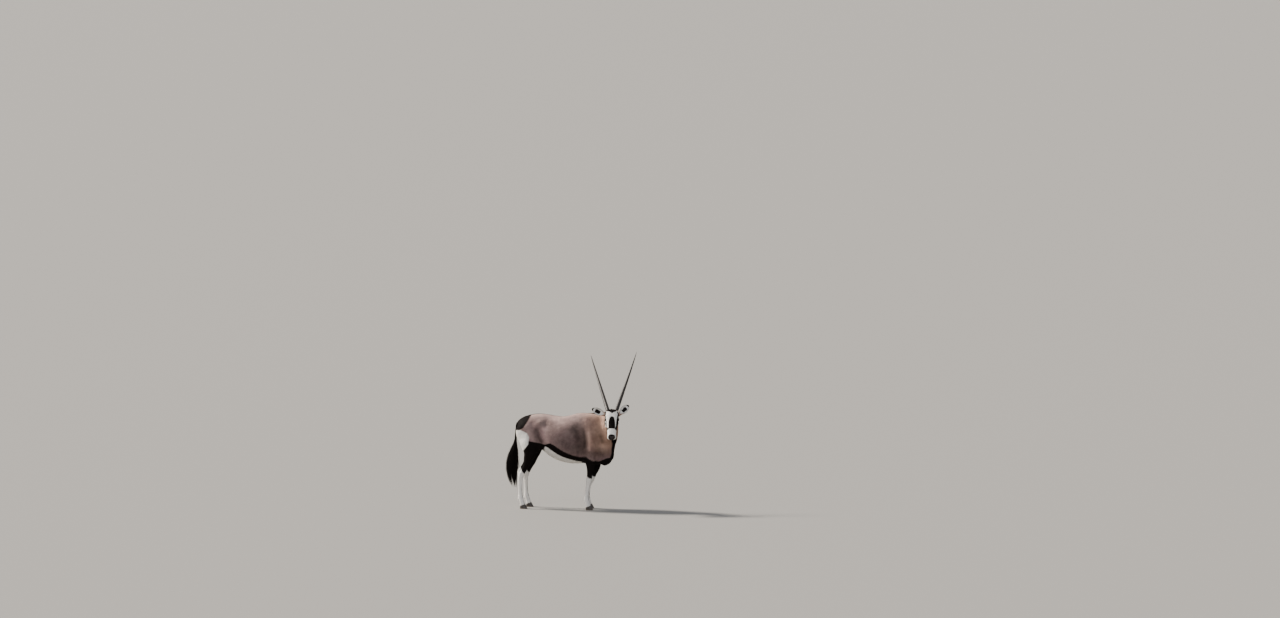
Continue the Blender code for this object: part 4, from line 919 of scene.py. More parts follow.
def hair_piece(name, paths, across, out, widths, values, patches, soft=None, finish=None):
    """One mesh of tapered strands: three-sided rings along each path, closed to its last point."""
    count, steps = paths.shape[0], paths.shape[1] - 1
    half = (widths / 2)[:, :, None]
    side = across[:, None] * half
    rings = np.stack([paths[:, :-1] - side, paths[:, :-1] + side, paths[:, :-1] + out[:, None] * half * 0.6], axis=2)
    points = np.concatenate([rings.reshape(count, -1, 3), paths[:, -1:]], axis=1)
    each = 3 * steps + 1
    faces = [(2, 1, 0)]
    for a, b in ((0, 1), (1, 2), (2, 0)):
        for low in range(0, 3 * steps - 3, 3):
            faces += [(low + a, low + b, low + 3 + b), (low + a, low + 3 + b, low + 3 + a)]
        faces.append((each - 4 + a, each - 4 + b, each - 1))
    corners = ((np.arange(count) * each)[:, None, None] + np.array(faces)[None]).reshape(-1).astype(np.int32)
    mesh = bpy.data.meshes.new(name)
    mesh.vertices.add(count * each)
    mesh.loops.add(len(corners))
    mesh.polygons.add(len(corners) // 3)
    mesh.vertices.foreach_set("co", points.astype(np.float32).ravel())
    mesh.loops.foreach_set("vertex_index", corners)
    mesh.polygons.foreach_set("loop_start", np.arange(0, len(corners), 3, dtype=np.int32))
    mesh.update(calc_edges=True)
    for key, value in values.items():
        give(mesh, key, np.repeat(value, each, axis=0))
    along = np.append(np.repeat(np.arange(steps) / steps, 3), 1.0)
    give(mesh, "tip", np.tile(along, count))
    sideways = np.append(np.tile((-1.0, 1.0, 0.0), steps), 0.0)
    spot = np.stack([sideways, 2 * along - 1], axis=1) * PATCH / 2
    flat = (patches[:, None] + spot[None]).reshape(-1, 2)
    mesh.uv_layers.new(name="OFBake").data.foreach_set("uv", flat[corners].astype(np.float32).ravel())
    mesh.shade_smooth()
    if soft is not None:
        mesh.normals_split_custom_set_from_vertices(np.repeat(soft, each, axis=0).astype(np.float32))
    piece = new_object(name, mesh)
    mesh.materials.append(finish or HAIR_FINISH)
    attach(piece, "root")
    print("TUFTS", name, count, len(corners) // 3)
    return piece


def bent(roots, out, lie, length, lift, steps=1, droop=0.0, rise=1.0):
    """Paths of hairs that leave the skin, rise by a share of their length and lie or droop over it."""
    t = np.linspace(0, 1, steps + 1)[None, :, None]
    size = length[:, None, None]
    paths = roots[:, None] + lie[:, None] * size * t
    paths = paths + out[:, None] * (size * lift * t**rise - TUFT_SINK * (1 - t))
    return paths - np.array((0, 0, droop)) * size * t * t


def tapered(widths, steps):
    """A strand's width at each ring: full at the root, narrowing to the tip."""
    t = np.linspace(0, 1, steps + 1)[:-1]
    return widths[:, None] * ((1 - t) ** 0.7)[None]


def scattered(mesh, density, seed):
    """Places spread over a mesh by a density at its points: face corners, and shares of the three."""
    mesh.calc_loop_triangles()
    triangles = np.empty(len(mesh.loop_triangles) * 3, np.int32)
    mesh.loop_triangles.foreach_get("vertices", triangles)
    triangles = triangles.reshape(-1, 3)
    points = points_of(mesh)
    a, b, c = (points[triangles[:, i]] for i in range(3))
    area = np.linalg.norm(np.cross(b - a, c - a), axis=1) / 2
    reach = np.cumsum(area * density[triangles].mean(axis=1))
    draw = np.random.default_rng(seed)
    picks = np.arange(int(reach[-1])) + draw.random(int(reach[-1]))
    face = np.clip(np.searchsorted(reach, picks), 0, len(triangles) - 1)
    u, v = draw.random((2, len(face)))
    over = u + v > 1
    u[over], v[over] = 1 - u[over], 1 - v[over]
    shares = np.stack([1 - u - v, u, v], axis=1)
    return triangles[face], shares, draw


def read_at(values, corners, shares):
    picked = values[corners]
    if picked.ndim == 2:
        return (picked * shares).sum(axis=1)
    return (picked * shares[..., None]).sum(axis=1)


def turned(lie, out, angle):
    """Directions turned on the skin by an angle each."""
    angle = angle[:, None]
    return lie * np.cos(angle) + np.cross(out, lie) * np.sin(angle)


def hair_values(roots, draw, wander=0.0018):
    """The coat's fields at the roots, each hair a little off, so that colours meet raggedly."""
    off = draw.normal(0, wander, len(roots))
    return {
        "black_edge": black_edge(roots) + off,
        "white_edge": white_edge(roots) - off,
        "warmth": warmth(roots),
        # the painted light and shade at each root, a little off at random
        "painted_shading": painted_shading(roots) + draw.normal(0, 0.05, len(roots)),
        "own": draw.random(len(roots)),
        "strand": np.repeat(draw.random((len(roots), 1)), 3, axis=1),
    }


def grown(density, seed, spin=0.13):
    """Roots drawn over the skin, with the way out, the lie, and the place on the skin's unwrap."""
    corners, shares, draw = scattered(skin.data, density, seed)
    out = unit(read_at(skin_normals, corners, shares))
    lie = read_at(skin_lie, corners, shares)
    lie = unit(lie - out * (lie * out).sum(1)[:, None])
    lie = turned(lie, out, draw.normal(0, spin, len(lie)))
    flat = skin_unwrap[corners[:, 0]] * 0.98 + 0.01
    return corners, shares, draw, read_at(skin_points, corners, shares), out, lie, flat


names = list(AXES)
head_x = in_head(skin_points)[:, 0]
is_head = on_head(skin_points)
height = skin_points[:, 2]

# How long hair is at each point of the skin: shorter towards the nose and down the legs
hair_length = np.select(
    [is_head, height < 0.62],
    [0.0098 - 0.0058 * ramp(head_x, -0.02, 0.34), 0.0075 + 0.0065 * ramp(height, 0.05, 0.60)],
    0.0165,
)
for _ in range(20):
    hair_length = spread(hair_length[:, None], skin_edges)[:, 0]
hair_density = 20.0 / hair_length**2
hair_density *= np.select([is_head, height < 0.62], [0.62, 0.74], 0.88)

# Nothing grows on the eye, in the nostril, on the hoof's top, or on the lips
head_both = both(in_head(skin_points))
bare = np.zeros(len(skin_points), bool)
for side in SIDES.values():
    _, reach, edge = eye_places(in_head(skin_points), side)
    bare |= (edge < 0.0012) & (reach < 0.032)
bare |= is_head & ((path_gap(head_both, NOSTRIL) < 0.0088) | (path_gap(head_both, LIPS) < 0.0030))
bare |= is_head & (path_gap(head_both, NOSE_PAD[0]) < 0.0105)
bare |= is_head & (leather(skin_points) > 0.3)
bare |= height < 0.012
hair_density[bare] = 0.0

# Each piece of the coat: the length of body it covers, the side, the span along x, and its slot
PIECES = {
    "coat_head_right": ("head", -1, (-9, 9), "white_coat"),
    "coat_head_left": ("head", 1, (-9, 9), "white_coat"),
    "coat_neck": ("neck", 0, (-9, 9), "grey_coat"),
    "coat_shoulder_right": ("trunk", -1, (0.20, 9), "grey_coat"),
    "coat_shoulder_left": ("trunk", 1, (0.20, 9), "grey_coat"),
    "coat_flank_right": ("trunk", -1, (-0.12, 0.20), "grey_coat"),
    "coat_flank_left": ("trunk", 1, (-0.12, 0.20), "grey_coat"),
    "coat_haunch_right": ("trunk", -1, (-9, -0.12), "grey_coat"),
    "coat_haunch_left": ("trunk", 1, (-9, -0.12), "grey_coat"),
    "coat_foreleg_right": ("foreleg_right", 0, (-9, 9), "white_coat"),
    "coat_foreleg_left": ("foreleg_left", 0, (-9, 9), "white_coat"),
    "coat_hindleg_right": ("hindleg_right", 0, (-9, 9), "white_coat"),
    "coat_hindleg_left": ("hindleg_left", 0, (-9, 9), "white_coat"),
}
skin_places = in_trunk(skin_points)
skin_side = np.where(is_head, in_head(skin_points)[:, 1], skin_places[:, 1])
for seed, (name, (length_of_body, half, span, slot)) in enumerate(PIECES.items(), 31):
    mine = (skin_part == names.index(length_of_body)) & (skin_places[:, 0] >= span[0]) & (skin_places[:, 0] < span[1])
    if half:
        mine &= (skin_side >= 0) == (half > 0)
    corners, shares, draw, roots, out, lie, flat = grown(hair_density * mine, seed)
    length = read_at(hair_length, corners, shares) * draw.uniform(0.75, 1.25, len(roots))
    widths = tapered(length * TUFT_WIDTH, 1)
    soft = unit(out + 0.16 * draw.normal(0, 1, out.shape))
    hair_piece(name, bent(roots, out, lie, length, 0.10), np.cross(out, lie), out, widths,
               hair_values(roots, draw, 0.0009 if length_of_body == "head" else 0.0018), flat, soft)

# Longer hair where the coat breaks the outline: throat, chest, belly, buttocks, hocks and between the horns
LONG_HAIR = (
    ([(0.729, -0.217, 1.053), (0.753, -0.132, 0.929), (0.747, -0.046, 0.826), (0.700, 0, 0.66)], 0.050, 0.024),
    ([(0.640, 0, 0.545), (0.450, 0, 0.560), (0.250, 0, 0.567), (0.030, 0, 0.616), (-0.080, 0, 0.692)], 0.050, 0.022),
    ([(-0.475, 0.03, 1.00), (-0.480, 0.06, 0.90), (-0.450, 0.08, 0.80)], 0.045, 0.022),
    ([(-0.475, -0.03, 1.00), (-0.480, -0.06, 0.90), (-0.450, -0.08, 0.80)], 0.045, 0.022),
    ([(0.400, 0.13, 0.66), (0.405, 0.125, 0.52)], 0.030, 0.018),
    ([(0.375, -0.13, 0.66), (0.385, -0.125, 0.52)], 0.030, 0.018),
    ([(0.745, -0.235, 1.275)], 0.035, 0.013),
)
long_density = np.zeros(len(skin_points))
long_length = np.full(len(skin_points), 0.018)
for path, reach, length in LONG_HAIR:
    near = 1 - ramp(path_gap(skin_places, path), reach * 0.4, reach)
    long_density = np.maximum(long_density, near * 42000)
    long_length = np.where(near > 0.02, np.maximum(long_length, length * (0.6 + 0.4 * near)), long_length)
long_density[bare] = 0.0
corners, shares, draw, roots, out, lie, flat = grown(long_density, 51, 0.2)
length = read_at(long_length, corners, shares) * draw.uniform(0.7, 1.25, len(roots))
hair_piece("coat_long_hair", bent(roots, out, lie, length, 0.20, 3, 0.10), np.cross(out, lie), out,
           tapered(length * 0.085, 3), hair_values(roots, draw), flat,
           unit(out + 0.2 * draw.normal(0, 1, out.shape)))


# Mane
# A short dark mane that stands up along the crest of the neck and leans back, thinning at poll and withers.
crest_gap = path_gap(skin_places * (1, 1, 0), [(*spot, 0) for spot in CREST])
crest_share = np.exp(-((crest_gap / 0.0085) ** 2)) * (skin_places[:, 2] > 1.08) * (skin_normals[:, 2] > 0.15)
crest_share *= skin_places[:, 1] > -0.165
mane_density = 330000 * crest_share * (crest_share > 0.12)
mane_length = 0.004 + 0.034 * ramp(skin_places[:, 0], 0.36, 0.62) * (1 - 0.75 * ramp(skin_places[:, 0], 0.695, 0.735))
corners, shares, draw, roots, out, lie, flat = grown(mane_density, 61, 0.22)
length = read_at(mane_length, corners, shares) * draw.uniform(0.7, 1.2, len(roots))
values = hair_values(roots, draw)
values["black_edge"] = np.full(len(roots), -0.01)
hair_piece("mane", bent(roots, out, lie, length, 0.75, 4, 0.05, 0.75), np.cross(out, lie), out,
           tapered(length * 0.045 + 0.0004, 4), values, flat)


# Eyes
# Large dark eyes with a level pupil, wet and glossy, set deep between the lids, under a row of short lashes.
PUPIL = (0.46, 0.17)
IRIS = 0.70
CORNEA = 0.055


def eye_finish():
    made, tree, shader, _ = new_finish("eye", 0.05, 0.14)
    local = add(tree, "ShaderNodeSeparateXYZ",
                {0: add(tree, "ShaderNodeAttribute", attribute_name="gaze").outputs["Vector"]})
    along, up = local.outputs[0], local.outputs[1]

    def squared(value, half):
        share = maths(tree, "DIVIDE", value, half)
        return maths(tree, "MULTIPLY", share, share)

    reach = maths(tree, "SQRT", maths(tree, "ADD", squared(along, 1.0), squared(up, 1.0)))
    pupil = maths(tree, "ADD", squared(along, PUPIL[0]), squared(up, PUPIL[1]))
    rays = add(tree, "ShaderNodeTexNoise", {"Vector": add(tree, "ShaderNodeAttribute", attribute_name="gaze")
                                            .outputs["Vector"], "Scale": 9.0, "Detail": 6.0}).outputs["Fac"]
    iris = mixed(tree, rays, (0.022, 0.010, 0.005, 1), (0.085, 0.038, 0.017, 1))
    white = mixed(tree, ranged(tree, reach, IRIS - 0.03, IRIS + 0.03, 0, 1), iris, (0.020, 0.013, 0.010, 1))
    seen = mixed(tree, ranged(tree, pupil, 0.85, 1.25, 0, 1), (0.003, 0.003, 0.004, 1), white)
    tree.links.new(seen, shader.inputs["Base Color"])
    shader.inputs["Coat Weight"].default_value = 0.14
    shader.inputs["Coat Roughness"].default_value = 0.03
    return made


EYE_FINISH = eye_finish()
lash_paths, lash_across, lash_out = [], [], []
for word, side in SIDES.items():
    along, up, gaze = eye_axes(side)
    axes = np.array((along, up, gaze))
    bm = bmesh.new()
    bmesh.ops.create_uvsphere(bm, u_segments=48, v_segments=32, radius=1.0)
    local = np.array([vert.co for vert in bm.verts])
    mesh = bpy.data.meshes.new(f"eyeball_{word}")
    bm.to_mesh(mesh)
    bm.free()
    reach = np.linalg.norm(local[:, :2], axis=1)
    bulge = np.where(local[:, 2] > 0, CORNEA * np.clip(1 - (reach / (IRIS + 0.05)) ** 2, 0, 1), 0.0)
    centre = np.array((EYE_AT[0], EYE_AT[1] * side, EYE_AT[2]))
    places = centre + (local + np.column_stack([0 * reach, 0 * reach, bulge])) @ axes * EYE_RADIUS
    set_points(mesh, places @ HEAD_AXES.T + np.array(POLL))
    give(mesh, "gaze", local)
    bm = bmesh.new()
    bm.from_mesh(mesh)
    bmesh.ops.recalc_face_normals(bm, faces=bm.faces)
    bm.to_mesh(mesh)
    bm.free()
    mesh.shade_smooth()
    mesh.materials.append(EYE_FINISH)
    eyeball = new_object(f"eyeball_{word}", mesh)
    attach(eyeball, "root")
    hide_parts(f"eye_{word}")

    # Lashes along the upper lid, each bent up
    draw = np.random.default_rng(71)
    upper = lid_outline()[2:23]
    t = np.sort(draw.random(64)) * (len(upper) - 1)
    flat = np.stack([np.interp(t, range(len(upper)), upper[:, i]) for i in range(2)], axis=1)
    rise = np.sqrt(np.maximum((EYE_RADIUS + 0.0012) ** 2 - (flat**2).sum(1), 1e-8))
    root = np.column_stack([flat, rise])
    lean = unit(np.column_stack([flat[:, 0] * 18 + draw.normal(0, 0.12, len(t)), np.full(len(t), 0.25),
                                 np.ones(len(t))]))
    size = draw.uniform(0.0055, 0.0085, len(t))[:, None, None]
    share = np.linspace(0, 1, 5)[None, :, None]
    path = root[:, None] + lean[:, None] * size * share + np.array((0, 1.0, 0)) * size * 0.55 * share**2
    lash_paths.append((centre + path @ axes) @ HEAD_AXES.T + np.array(POLL))
    lash_across.append(np.tile(along, (len(t), 1)) @ HEAD_AXES.T)
    lash_out.append(np.tile(up, (len(t), 1)) @ HEAD_AXES.T)
lash_paths = np.concatenate(lash_paths)
lash_count = len(lash_paths)
dark = {"black_edge": np.full(lash_count, -0.01), "white_edge": np.full(lash_count, 0.01),
        "warmth": np.zeros(lash_count), "own": np.full(lash_count, 0.5), "strand": np.zeros((lash_count, 3))}
spots = np.column_stack([np.linspace(0.02, 0.98, lash_count), np.full(lash_count, 0.5)])
hair_piece("eyelashes", lash_paths, np.concatenate(lash_across), np.concatenate(lash_out),
           tapered(np.full(lash_count, 0.00055), 4), dark, spots)


# Ears
# Long ears, cupped forwards: a stalk that opens into a deep cup with a black tip, a dark middle, a band of
# long pale hair inside the rim, and short hair on the back.
EAR_ROOT = (0.040, 0.079, -0.064)
EAR_WAY = {"right": Vector((-0.160, -0.006, 0.074)), "left": Vector((0.088, 0.086, 0.102))}
EAR_FACING = Vector((0.12, -0.92, 0.30))
EAR_LENGTH = 0.182
EAR_WALL = 0.0022
# Share along, half width, depth of the back, depth of the front of the stalk, how far the sheet wraps round
EAR = (
    (-0.09, 0.0150, 0.0150, 0.0140, 3.14), (0.00, 0.0165, 0.0168, 0.0140, 3.14),
    (0.07, 0.0188, 0.0183, 0.0120, 3.00), (0.15, 0.0236, 0.0228, 0.0100, 2.55),
    (0.24, 0.0305, 0.0276, 0.0085, 2.10), (0.36, 0.0385, 0.0296, 0.0070, 1.80),
    (0.50, 0.0434, 0.0276, 0.0050, 1.64), (0.64, 0.0424, 0.0226, 0.0030, 1.57),
    (0.77, 0.0355, 0.0161, 0.0020, 1.57), (0.89, 0.0230, 0.0097, 0.0010, 1.57),
    (0.965, 0.0116, 0.0057, 0.0005, 1.57), (1.00, 0.0000, 0.0000, 0.0000, 1.57),
)


def sheet_of(name, across, along, place):
    """A grid drawn over a form, closed where its points meet; each point keeps its shares across and along."""
    bm = bmesh.new()
    bmesh.ops.create_grid(bm, x_segments=across, y_segments=along, size=1)
    shares = (np.array([vert.co[:2] for vert in bm.verts]) + 1) / 2
    turn = bm.verts.layers.float.new("turn")
    length = bm.verts.layers.float.new("length")
    for vert, share, point in zip(bm.verts, shares, place(*shares.T)):
        vert.co = point
        vert[turn], vert[length] = share
    bmesh.ops.remove_doubles(bm, verts=bm.verts, dist=1e-6)
    bmesh.ops.recalc_face_normals(bm, faces=bm.faces)
    mesh = bpy.data.meshes.new(name)
    bm.to_mesh(mesh)
    bm.free()
    mesh.shade_smooth()
    return new_object(name, mesh)


def shares_of(mesh):
    """The shares across and along that a sheet's points keep."""
    found = []
    for word in ("turn", "length"):
        values = np.empty(len(mesh.vertices), np.float32)
        mesh.attributes[word].data.foreach_get("value", values)
        found.append(values.astype(float))
    return found


def ear_place(word):
    """The ear's middle sheet, as a function of the shares across and along."""
    way = EAR_WAY[word].normalized()
    facing = (EAR_FACING - way * EAR_FACING.dot(way)).normalized()
    base = at_head(EAR_ROOT[0], EAR_ROOT[1] * SIDES[word], EAR_ROOT[2]) + way * 0.010
    across = way.cross(facing)
    rows = np.array(EAR)

    def place(u, v):
        t = rows[0, 0] + (1 - rows[0, 0]) * np.asarray(v, float)
        wide, back_depth, front_depth, wrap = (np.interp(t, rows[:, 0], rows[:, i]) for i in (1, 2, 3, 4))
        angle = (2 * np.asarray(u, float) - 1) * wrap
        sideways = wide * np.sin(angle)
        backwards = np.where(np.abs(angle) < math.pi / 2, back_depth, front_depth) * np.cos(angle)
        ripple = 0.0012 * np.sin(11 * t + 3 * angle) * ramp(t, 0.2, 0.5) * (1 - ramp(t, 0.8, 1.0))
        centre = np.array(base) + t[:, None] * EAR_LENGTH * np.array(way)
        centre = centre - 0.012 * (t**2)[:, None] * np.array(facing)
        return centre + np.array(across) * sideways[:, None] - np.array(facing) * (backwards + ripple)[:, None]

    return place, np.array(facing)


def ear_fields(u, v, inside):
    """Black, white and warm fields of an ear: dark middle and tip, pale band inside the rim, tan back."""
    t = -0.09 + 1.09 * v
    wide = np.interp(t, [row[0] for row in EAR], [row[1] for row in EAR])
    off = np.abs(2 * u - 1)
    tip = (0.875 - t) * EAR_LENGTH + 0.004 * np.sin(off * 9)
    rim = (0.965 - off) * wide + 0.03 * (t < 0.25)
    core = np.maximum((off - 0.36 + 0.04 * np.sin(17 * t)) * wide, (np.abs(t - 0.57) - 0.19) * EAR_LENGTH)
    black = np.where(inside, np.minimum(np.minimum(tip, core), rim), np.minimum(tip, rim))
    pale_back = np.where(t < 0.30, 0.01, (0.80 - off) * wide)
    white = np.where(inside, -0.01, pale_back)
    return black, white, np.full(len(u), 0.55)


for seed, word in enumerate(SIDES, 81):
    place, facing = ear_place(word)
    ear = sheet_of(f"cupped_ear_{word}", 36, 54, place)
    wall = ear.modifiers.new("wall", "SOLIDIFY")
    wall.thickness = EAR_WALL
    wall.offset = 0.0
    settled(ear)
    u, v = shares_of(ear.data)
    ear_points = points_of(ear.data)
    ear_normals = normals_of(ear.data)
    middle = place(u, v)
    step = 0.01
    lengthwise = unit(place(u, np.minimum(v + step, 1)) - place(u, np.maximum(v - step, 0)))
    crosswise = unit(place(np.minimum(u + step, 1), v) - place(np.maximum(u - step, 0), v))
    hollow_axis = place(np.full_like(u, 0.5), v) + facing * 0.02
    inside = ((ear_points - middle) * (hollow_axis - middle)).sum(1) > 0
    black, white, warm = ear_fields(u, v, inside)
    give(ear.data, "black_edge", black)
    give(ear.data, "white_edge", white)
    give(ear.data, "warmth", warm)
    give(ear.data, "own", np.full(len(u), 0.5))
    give(ear.data, "tip", np.full(len(u), 0.3))
    give(ear.data, "strand", np.column_stack([u * 0.09, v * 0.18, 0 * u]))
    ear.data.materials.clear()
    ear.data.materials.append(SKIN_FINISH)
    ear.data.shade_smooth()
    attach(ear, "root")
    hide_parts(f"ear_{word}")

    # Short hair on the back and the rim, long pale hair inside
    off = np.abs(2 * u - 1)
    kinds = (
        ("back", ~inside * 1.0 * (v < 0.985), 230000, (0.0050, 0.0080), 0.12, 1, 0.17),
        ("fringe", inside * ramp(off, 0.42, 0.60) * (v > 0.10) * (v < 0.97), 95000, (0.0090, 0.0180), 0.30, 3, 0.055),
        ("root", ~inside * (v < 0.16), 120000, (0.0120, 0.0180), 0.16, 2, 0.12),
    )
    for offset, (kind, mask, density, span, lift, steps, wide) in enumerate(kinds):
        corners, shares, draw = scattered(ear.data, density * mask, seed + 10 * offset)
        out = unit(read_at(ear_normals, corners, shares))
        lie = read_at(lengthwise, corners, shares)
        root_u, root_v = read_at(u, corners, shares), read_at(v, corners, shares)
        if kind == "fringe":
            lie = lie - 0.55 * read_at(crosswise, corners, shares) * np.sign(2 * root_u - 1)[:, None]
        lie = unit(lie - out * (lie * out).sum(1)[:, None])
        lie = turned(lie, out, draw.normal(0, 0.18, len(lie)))
        roots = read_at(ear_points, corners, shares)
        length = draw.uniform(*span, len(roots)) * (1 - 0.35 * ramp(root_v, 0.6, 1.0))
        black, white, warm = ear_fields(root_u, root_v, np.full(len(roots), kind == "fringe"))
        if kind == "fringe":
            black = np.minimum((0.90 - root_v) * EAR_LENGTH, 0.01)
        off_edge = draw.normal(0, 0.0012, len(roots))
        values = {"black_edge": black + off_edge, "white_edge": white - off_edge, "warmth": warm,
                  "own": draw.random(len(roots)), "strand": np.repeat(draw.random((len(roots), 1)), 3, axis=1)}
        soft = unit(out + 0.2 * draw.normal(0, 1, out.shape)) if steps < 3 else None
        hair_piece(f"ear_{kind}_hair_{word}", bent(roots, out, lie, length, lift, steps), np.cross(out, lie), out,
                   tapered(length * wide, steps), values, np.column_stack([root_u, root_v]) * 0.98 + 0.01,
                   soft)


# Horns
# Long straight horns of dark horn over bone, ringed on the lower part and smooth and polished to the tip.
HORN_LENGTH = 0.905
HORN_SPREAD = math.radians(14.8)
HORN_SWEEP = {"right": math.radians(12.0), "left": math.radians(8.0)}
HORN_ROOT = (-0.002, 0.052, -0.024)
HORN_RADII = (0.0012, 0.0245)
HORN_SUNK = 0.014
HORN_RINGS = 29
HORN_RINGED = 0.62


def horn_ring(t):
    """The count of rings up to a share of the horn's length, unevenly spaced."""
    even = HORN_RINGS * np.clip(t / HORN_RINGED, 0, 1) ** (1 / 0.92)
    return even + 0.20 * np.sin(even * 1.9) + 0.14 * np.sin(even * 0.77 + 1)


def horn_place(word):
    side = SIDES[word]
    away, sideways = math.cos(HORN_SPREAD), side * math.sin(HORN_SPREAD)
    sweep = HORN_SWEEP[word]
    way = head_way(-away * math.cos(sweep), sideways, -away * math.sin(sweep))
    base = at_head(HORN_ROOT[0], HORN_ROOT[1] * side, HORN_ROOT[2]) + way * 0.010
    back = head_way(0, 0, -1)
    across = way.cross(back).normalized()
    fore = across.cross(way)

    def place(u, v):
        u, v = np.asarray(u, float), np.asarray(v, float)
        along = -HORN_SUNK + (HORN_LENGTH + HORN_SUNK) * np.clip((v - 0.004) / 0.992, 0, 1)
        t = np.clip(along / HORN_LENGTH, 0, 1)
        thin, thick = HORN_RADII
        radius = thin + (thick - thin) * (1 - t) ** 0.68
        ring = horn_ring(t)
        saw = (ring + 0.10 * np.sin(2 * math.pi * u + ring * 0.9)) % 1
        crest = np.where(saw < 0.62, ramp(saw, 0.05, 0.55), 1 - ramp(saw, 0.66, 1.0))
        fade = (1 - ramp(t, HORN_RINGED - 0.10, HORN_RINGED)) * (1 - 0.55 * t / HORN_RINGED) * ramp(t, 0.0, 0.02)
        angle = 2 * math.pi * u
        uneven = 1 + 0.25 * np.sin(angle * 2 + ring * 1.7) * 0.6
        radius = radius + 0.0010 * crest * fade * uneven
        radius = radius * (1 + 0.012 * np.sin(angle * 7 + 9 * t))
        radius = np.where((v <= 0) | (v >= 1), 0.0, radius)
        centre = np.array(base) + along[:, None] * np.array(way)
        centre = centre + (0.014 * np.sin(math.pi * t))[:, None] * np.array(back)
        around = np.cos(angle)[:, None] * np.array(across) + np.sin(angle)[:, None] * np.array(fore)
        return centre + around * radius[:, None]

    return place


def horn_finish():
    made, tree, shader, place = new_finish("horn", 0.42, 0.32)
    grooves = streaked(tree, "strand", 14.0, 900.0)
    spots = noise(tree, place, 26.0, 5.0)
    dark = mixed(tree, spots, (0.008, 0.0065, 0.006, 1), (0.026, 0.020, 0.017, 1))
    worn = mixed(tree, ranged(tree, number(tree, "crest"), 0.3, 1.0, 0.0, 0.50), dark, (0.050, 0.040, 0.033, 1))
    depth = ranged(tree, grooves, 0.3, 0.7, 0.72, 1.20)
    tree.links.new(shaded(tree, worn, depth), shader.inputs["Base Color"])
    tree.links.new(ranged(tree, grooves, 0.3, 0.7, 0.56, 0.36), shader.inputs["Roughness"])
    bumped(tree, shader, grooves, 0.35, 0.0008)
    return made


HORN_FINISH = horn_finish()
for word in SIDES:
    horn = sheet_of(f"ringed_horn_{word}", 30, 300, horn_place(word))
    u, v = shares_of(horn.data)
    t = np.clip(v, 0, 1)
    ring = horn_ring(t)
    give(horn.data, "crest", ramp(ring % 1, 0.15, 0.6) * (1 - ramp(ring % 1, 0.66, 0.95)) * (t < HORN_RINGED))
    give(horn.data, "strand", np.column_stack([np.sin(2 * math.pi * u) * 0.024, v * HORN_LENGTH, np.cos(2 * math.pi * u) * 20]))
    horn.data.materials.append(HORN_FINISH)
    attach(horn, "root")
    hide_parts(f"horn_{word}")


# Hooves and dewclaws
# Two pointed halves of dark horn on each foot, with growth rings round the wall and dust at the edge of the
# sole, and two small dewclaws behind each fetlock.
HOOF_VOXEL = 0.0018
DEWCLAW = (0.0085, 0.0070, 0.0145)
DEWCLAWS = {
    "foreleg_right": ((0.382, -0.124, 0.110), (0.382, -0.100, 0.110)),
    "foreleg_left": ((0.347, 0.124, 0.110), (0.347, 0.100, 0.110)),
    "hindleg_right": ((-0.455, -0.129, 0.114), (-0.455, -0.105, 0.114)),
    "hindleg_left": ((-0.433, 0.129, 0.114), (-0.433, 0.105, 0.114)),
}


def hoof_finish():
    made, tree, shader, place = new_finish("hoof", 0.46, 0.45)
    height = add(tree, "ShaderNodeSeparateXYZ", {0: place}).outputs[2]
    wander = ranged(tree, noise(tree, place, 60.0), 0.3, 0.7, -2.4, 2.4)
    rings = maths(tree, "SINE", maths(tree, "ADD", maths(tree, "MULTIPLY", number(tree, "growth"), 1150.0), wander))
    spots = noise(tree, place, 55.0, 5.0)
    dark = mixed(tree, spots, (0.020, 0.016, 0.014, 1), (0.075, 0.060, 0.050, 1))
    dusty = mixed(tree, ranged(tree, height, 0.0, 0.014, 0.50, 0.0), dark, (0.250, 0.185, 0.135, 1))
    tree.links.new(shaded(tree, dusty, ranged(tree, rings, -1.0, 1.0, 0.93, 1.06)), shader.inputs["Base Color"])
    bumped(tree, shader, maths(tree, "ADD", maths(tree, "MULTIPLY", rings, 0.12), noise(tree, place, 420.0)), 0.4, 0.0006)
    return made


HOOF_FINISH = hoof_finish()
for node in sorted(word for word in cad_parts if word.startswith("hoof_")):
    toe = one_surface(node.replace("hoof_", "toe_"), (node,), 0.0, HOOF_VOXEL)
    toe_points = points_of(toe.data)
    toe_points = relaxed(toe_points, edges_of(toe.data), 5)
    low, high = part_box(node)
    growth = toe_points[:, 2] - 0.33 * (toe_points[:, 0] - low.x - 0.030) * np.clip(toe_points[:, 2] / 0.045, 0, 1)
    wall_share = ramp(toe_points[:, 2], 0.002, 0.008)
    swell = 0.00014 * np.sin(growth * 1150) * (0.6 + 0.4 * np.sin(growth * 310 + 1))
    toe_points += normals_of(toe.data) * (swell * wall_share)[:, None]
    toe_points[:, 2] = np.where(toe_points[:, 2] < 0.0011, 0.0, toe_points[:, 2])
    set_points(toe.data, toe_points)
    give(toe.data, "growth", growth)
    toe.data.materials.clear()
    toe.data.materials.append(HOOF_FINISH)
    toe.data.shade_smooth()
    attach(toe, "root")
    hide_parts(node)

bm = bmesh.new()
for spots in DEWCLAWS.values():
    for spot in spots:
        stance = Matrix.Translation(TRUNK + Vector(spot)) @ Matrix.Rotation(math.radians(-28), 4, "Y")
        stance = stance @ Matrix.Diagonal((*DEWCLAW, 1.0))
        bmesh.ops.create_uvsphere(bm, u_segments=18, v_segments=14, radius=1.0, matrix=stance)
mesh = bpy.data.meshes.new("dewclaws")
bm.to_mesh(mesh)
bm.free()
mesh.shade_smooth()
give(mesh, "growth", points_of(mesh)[:, 2])
mesh.materials.append(HOOF_FINISH)
dewclaws = new_object("dewclaws", mesh)
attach(dewclaws, "root")


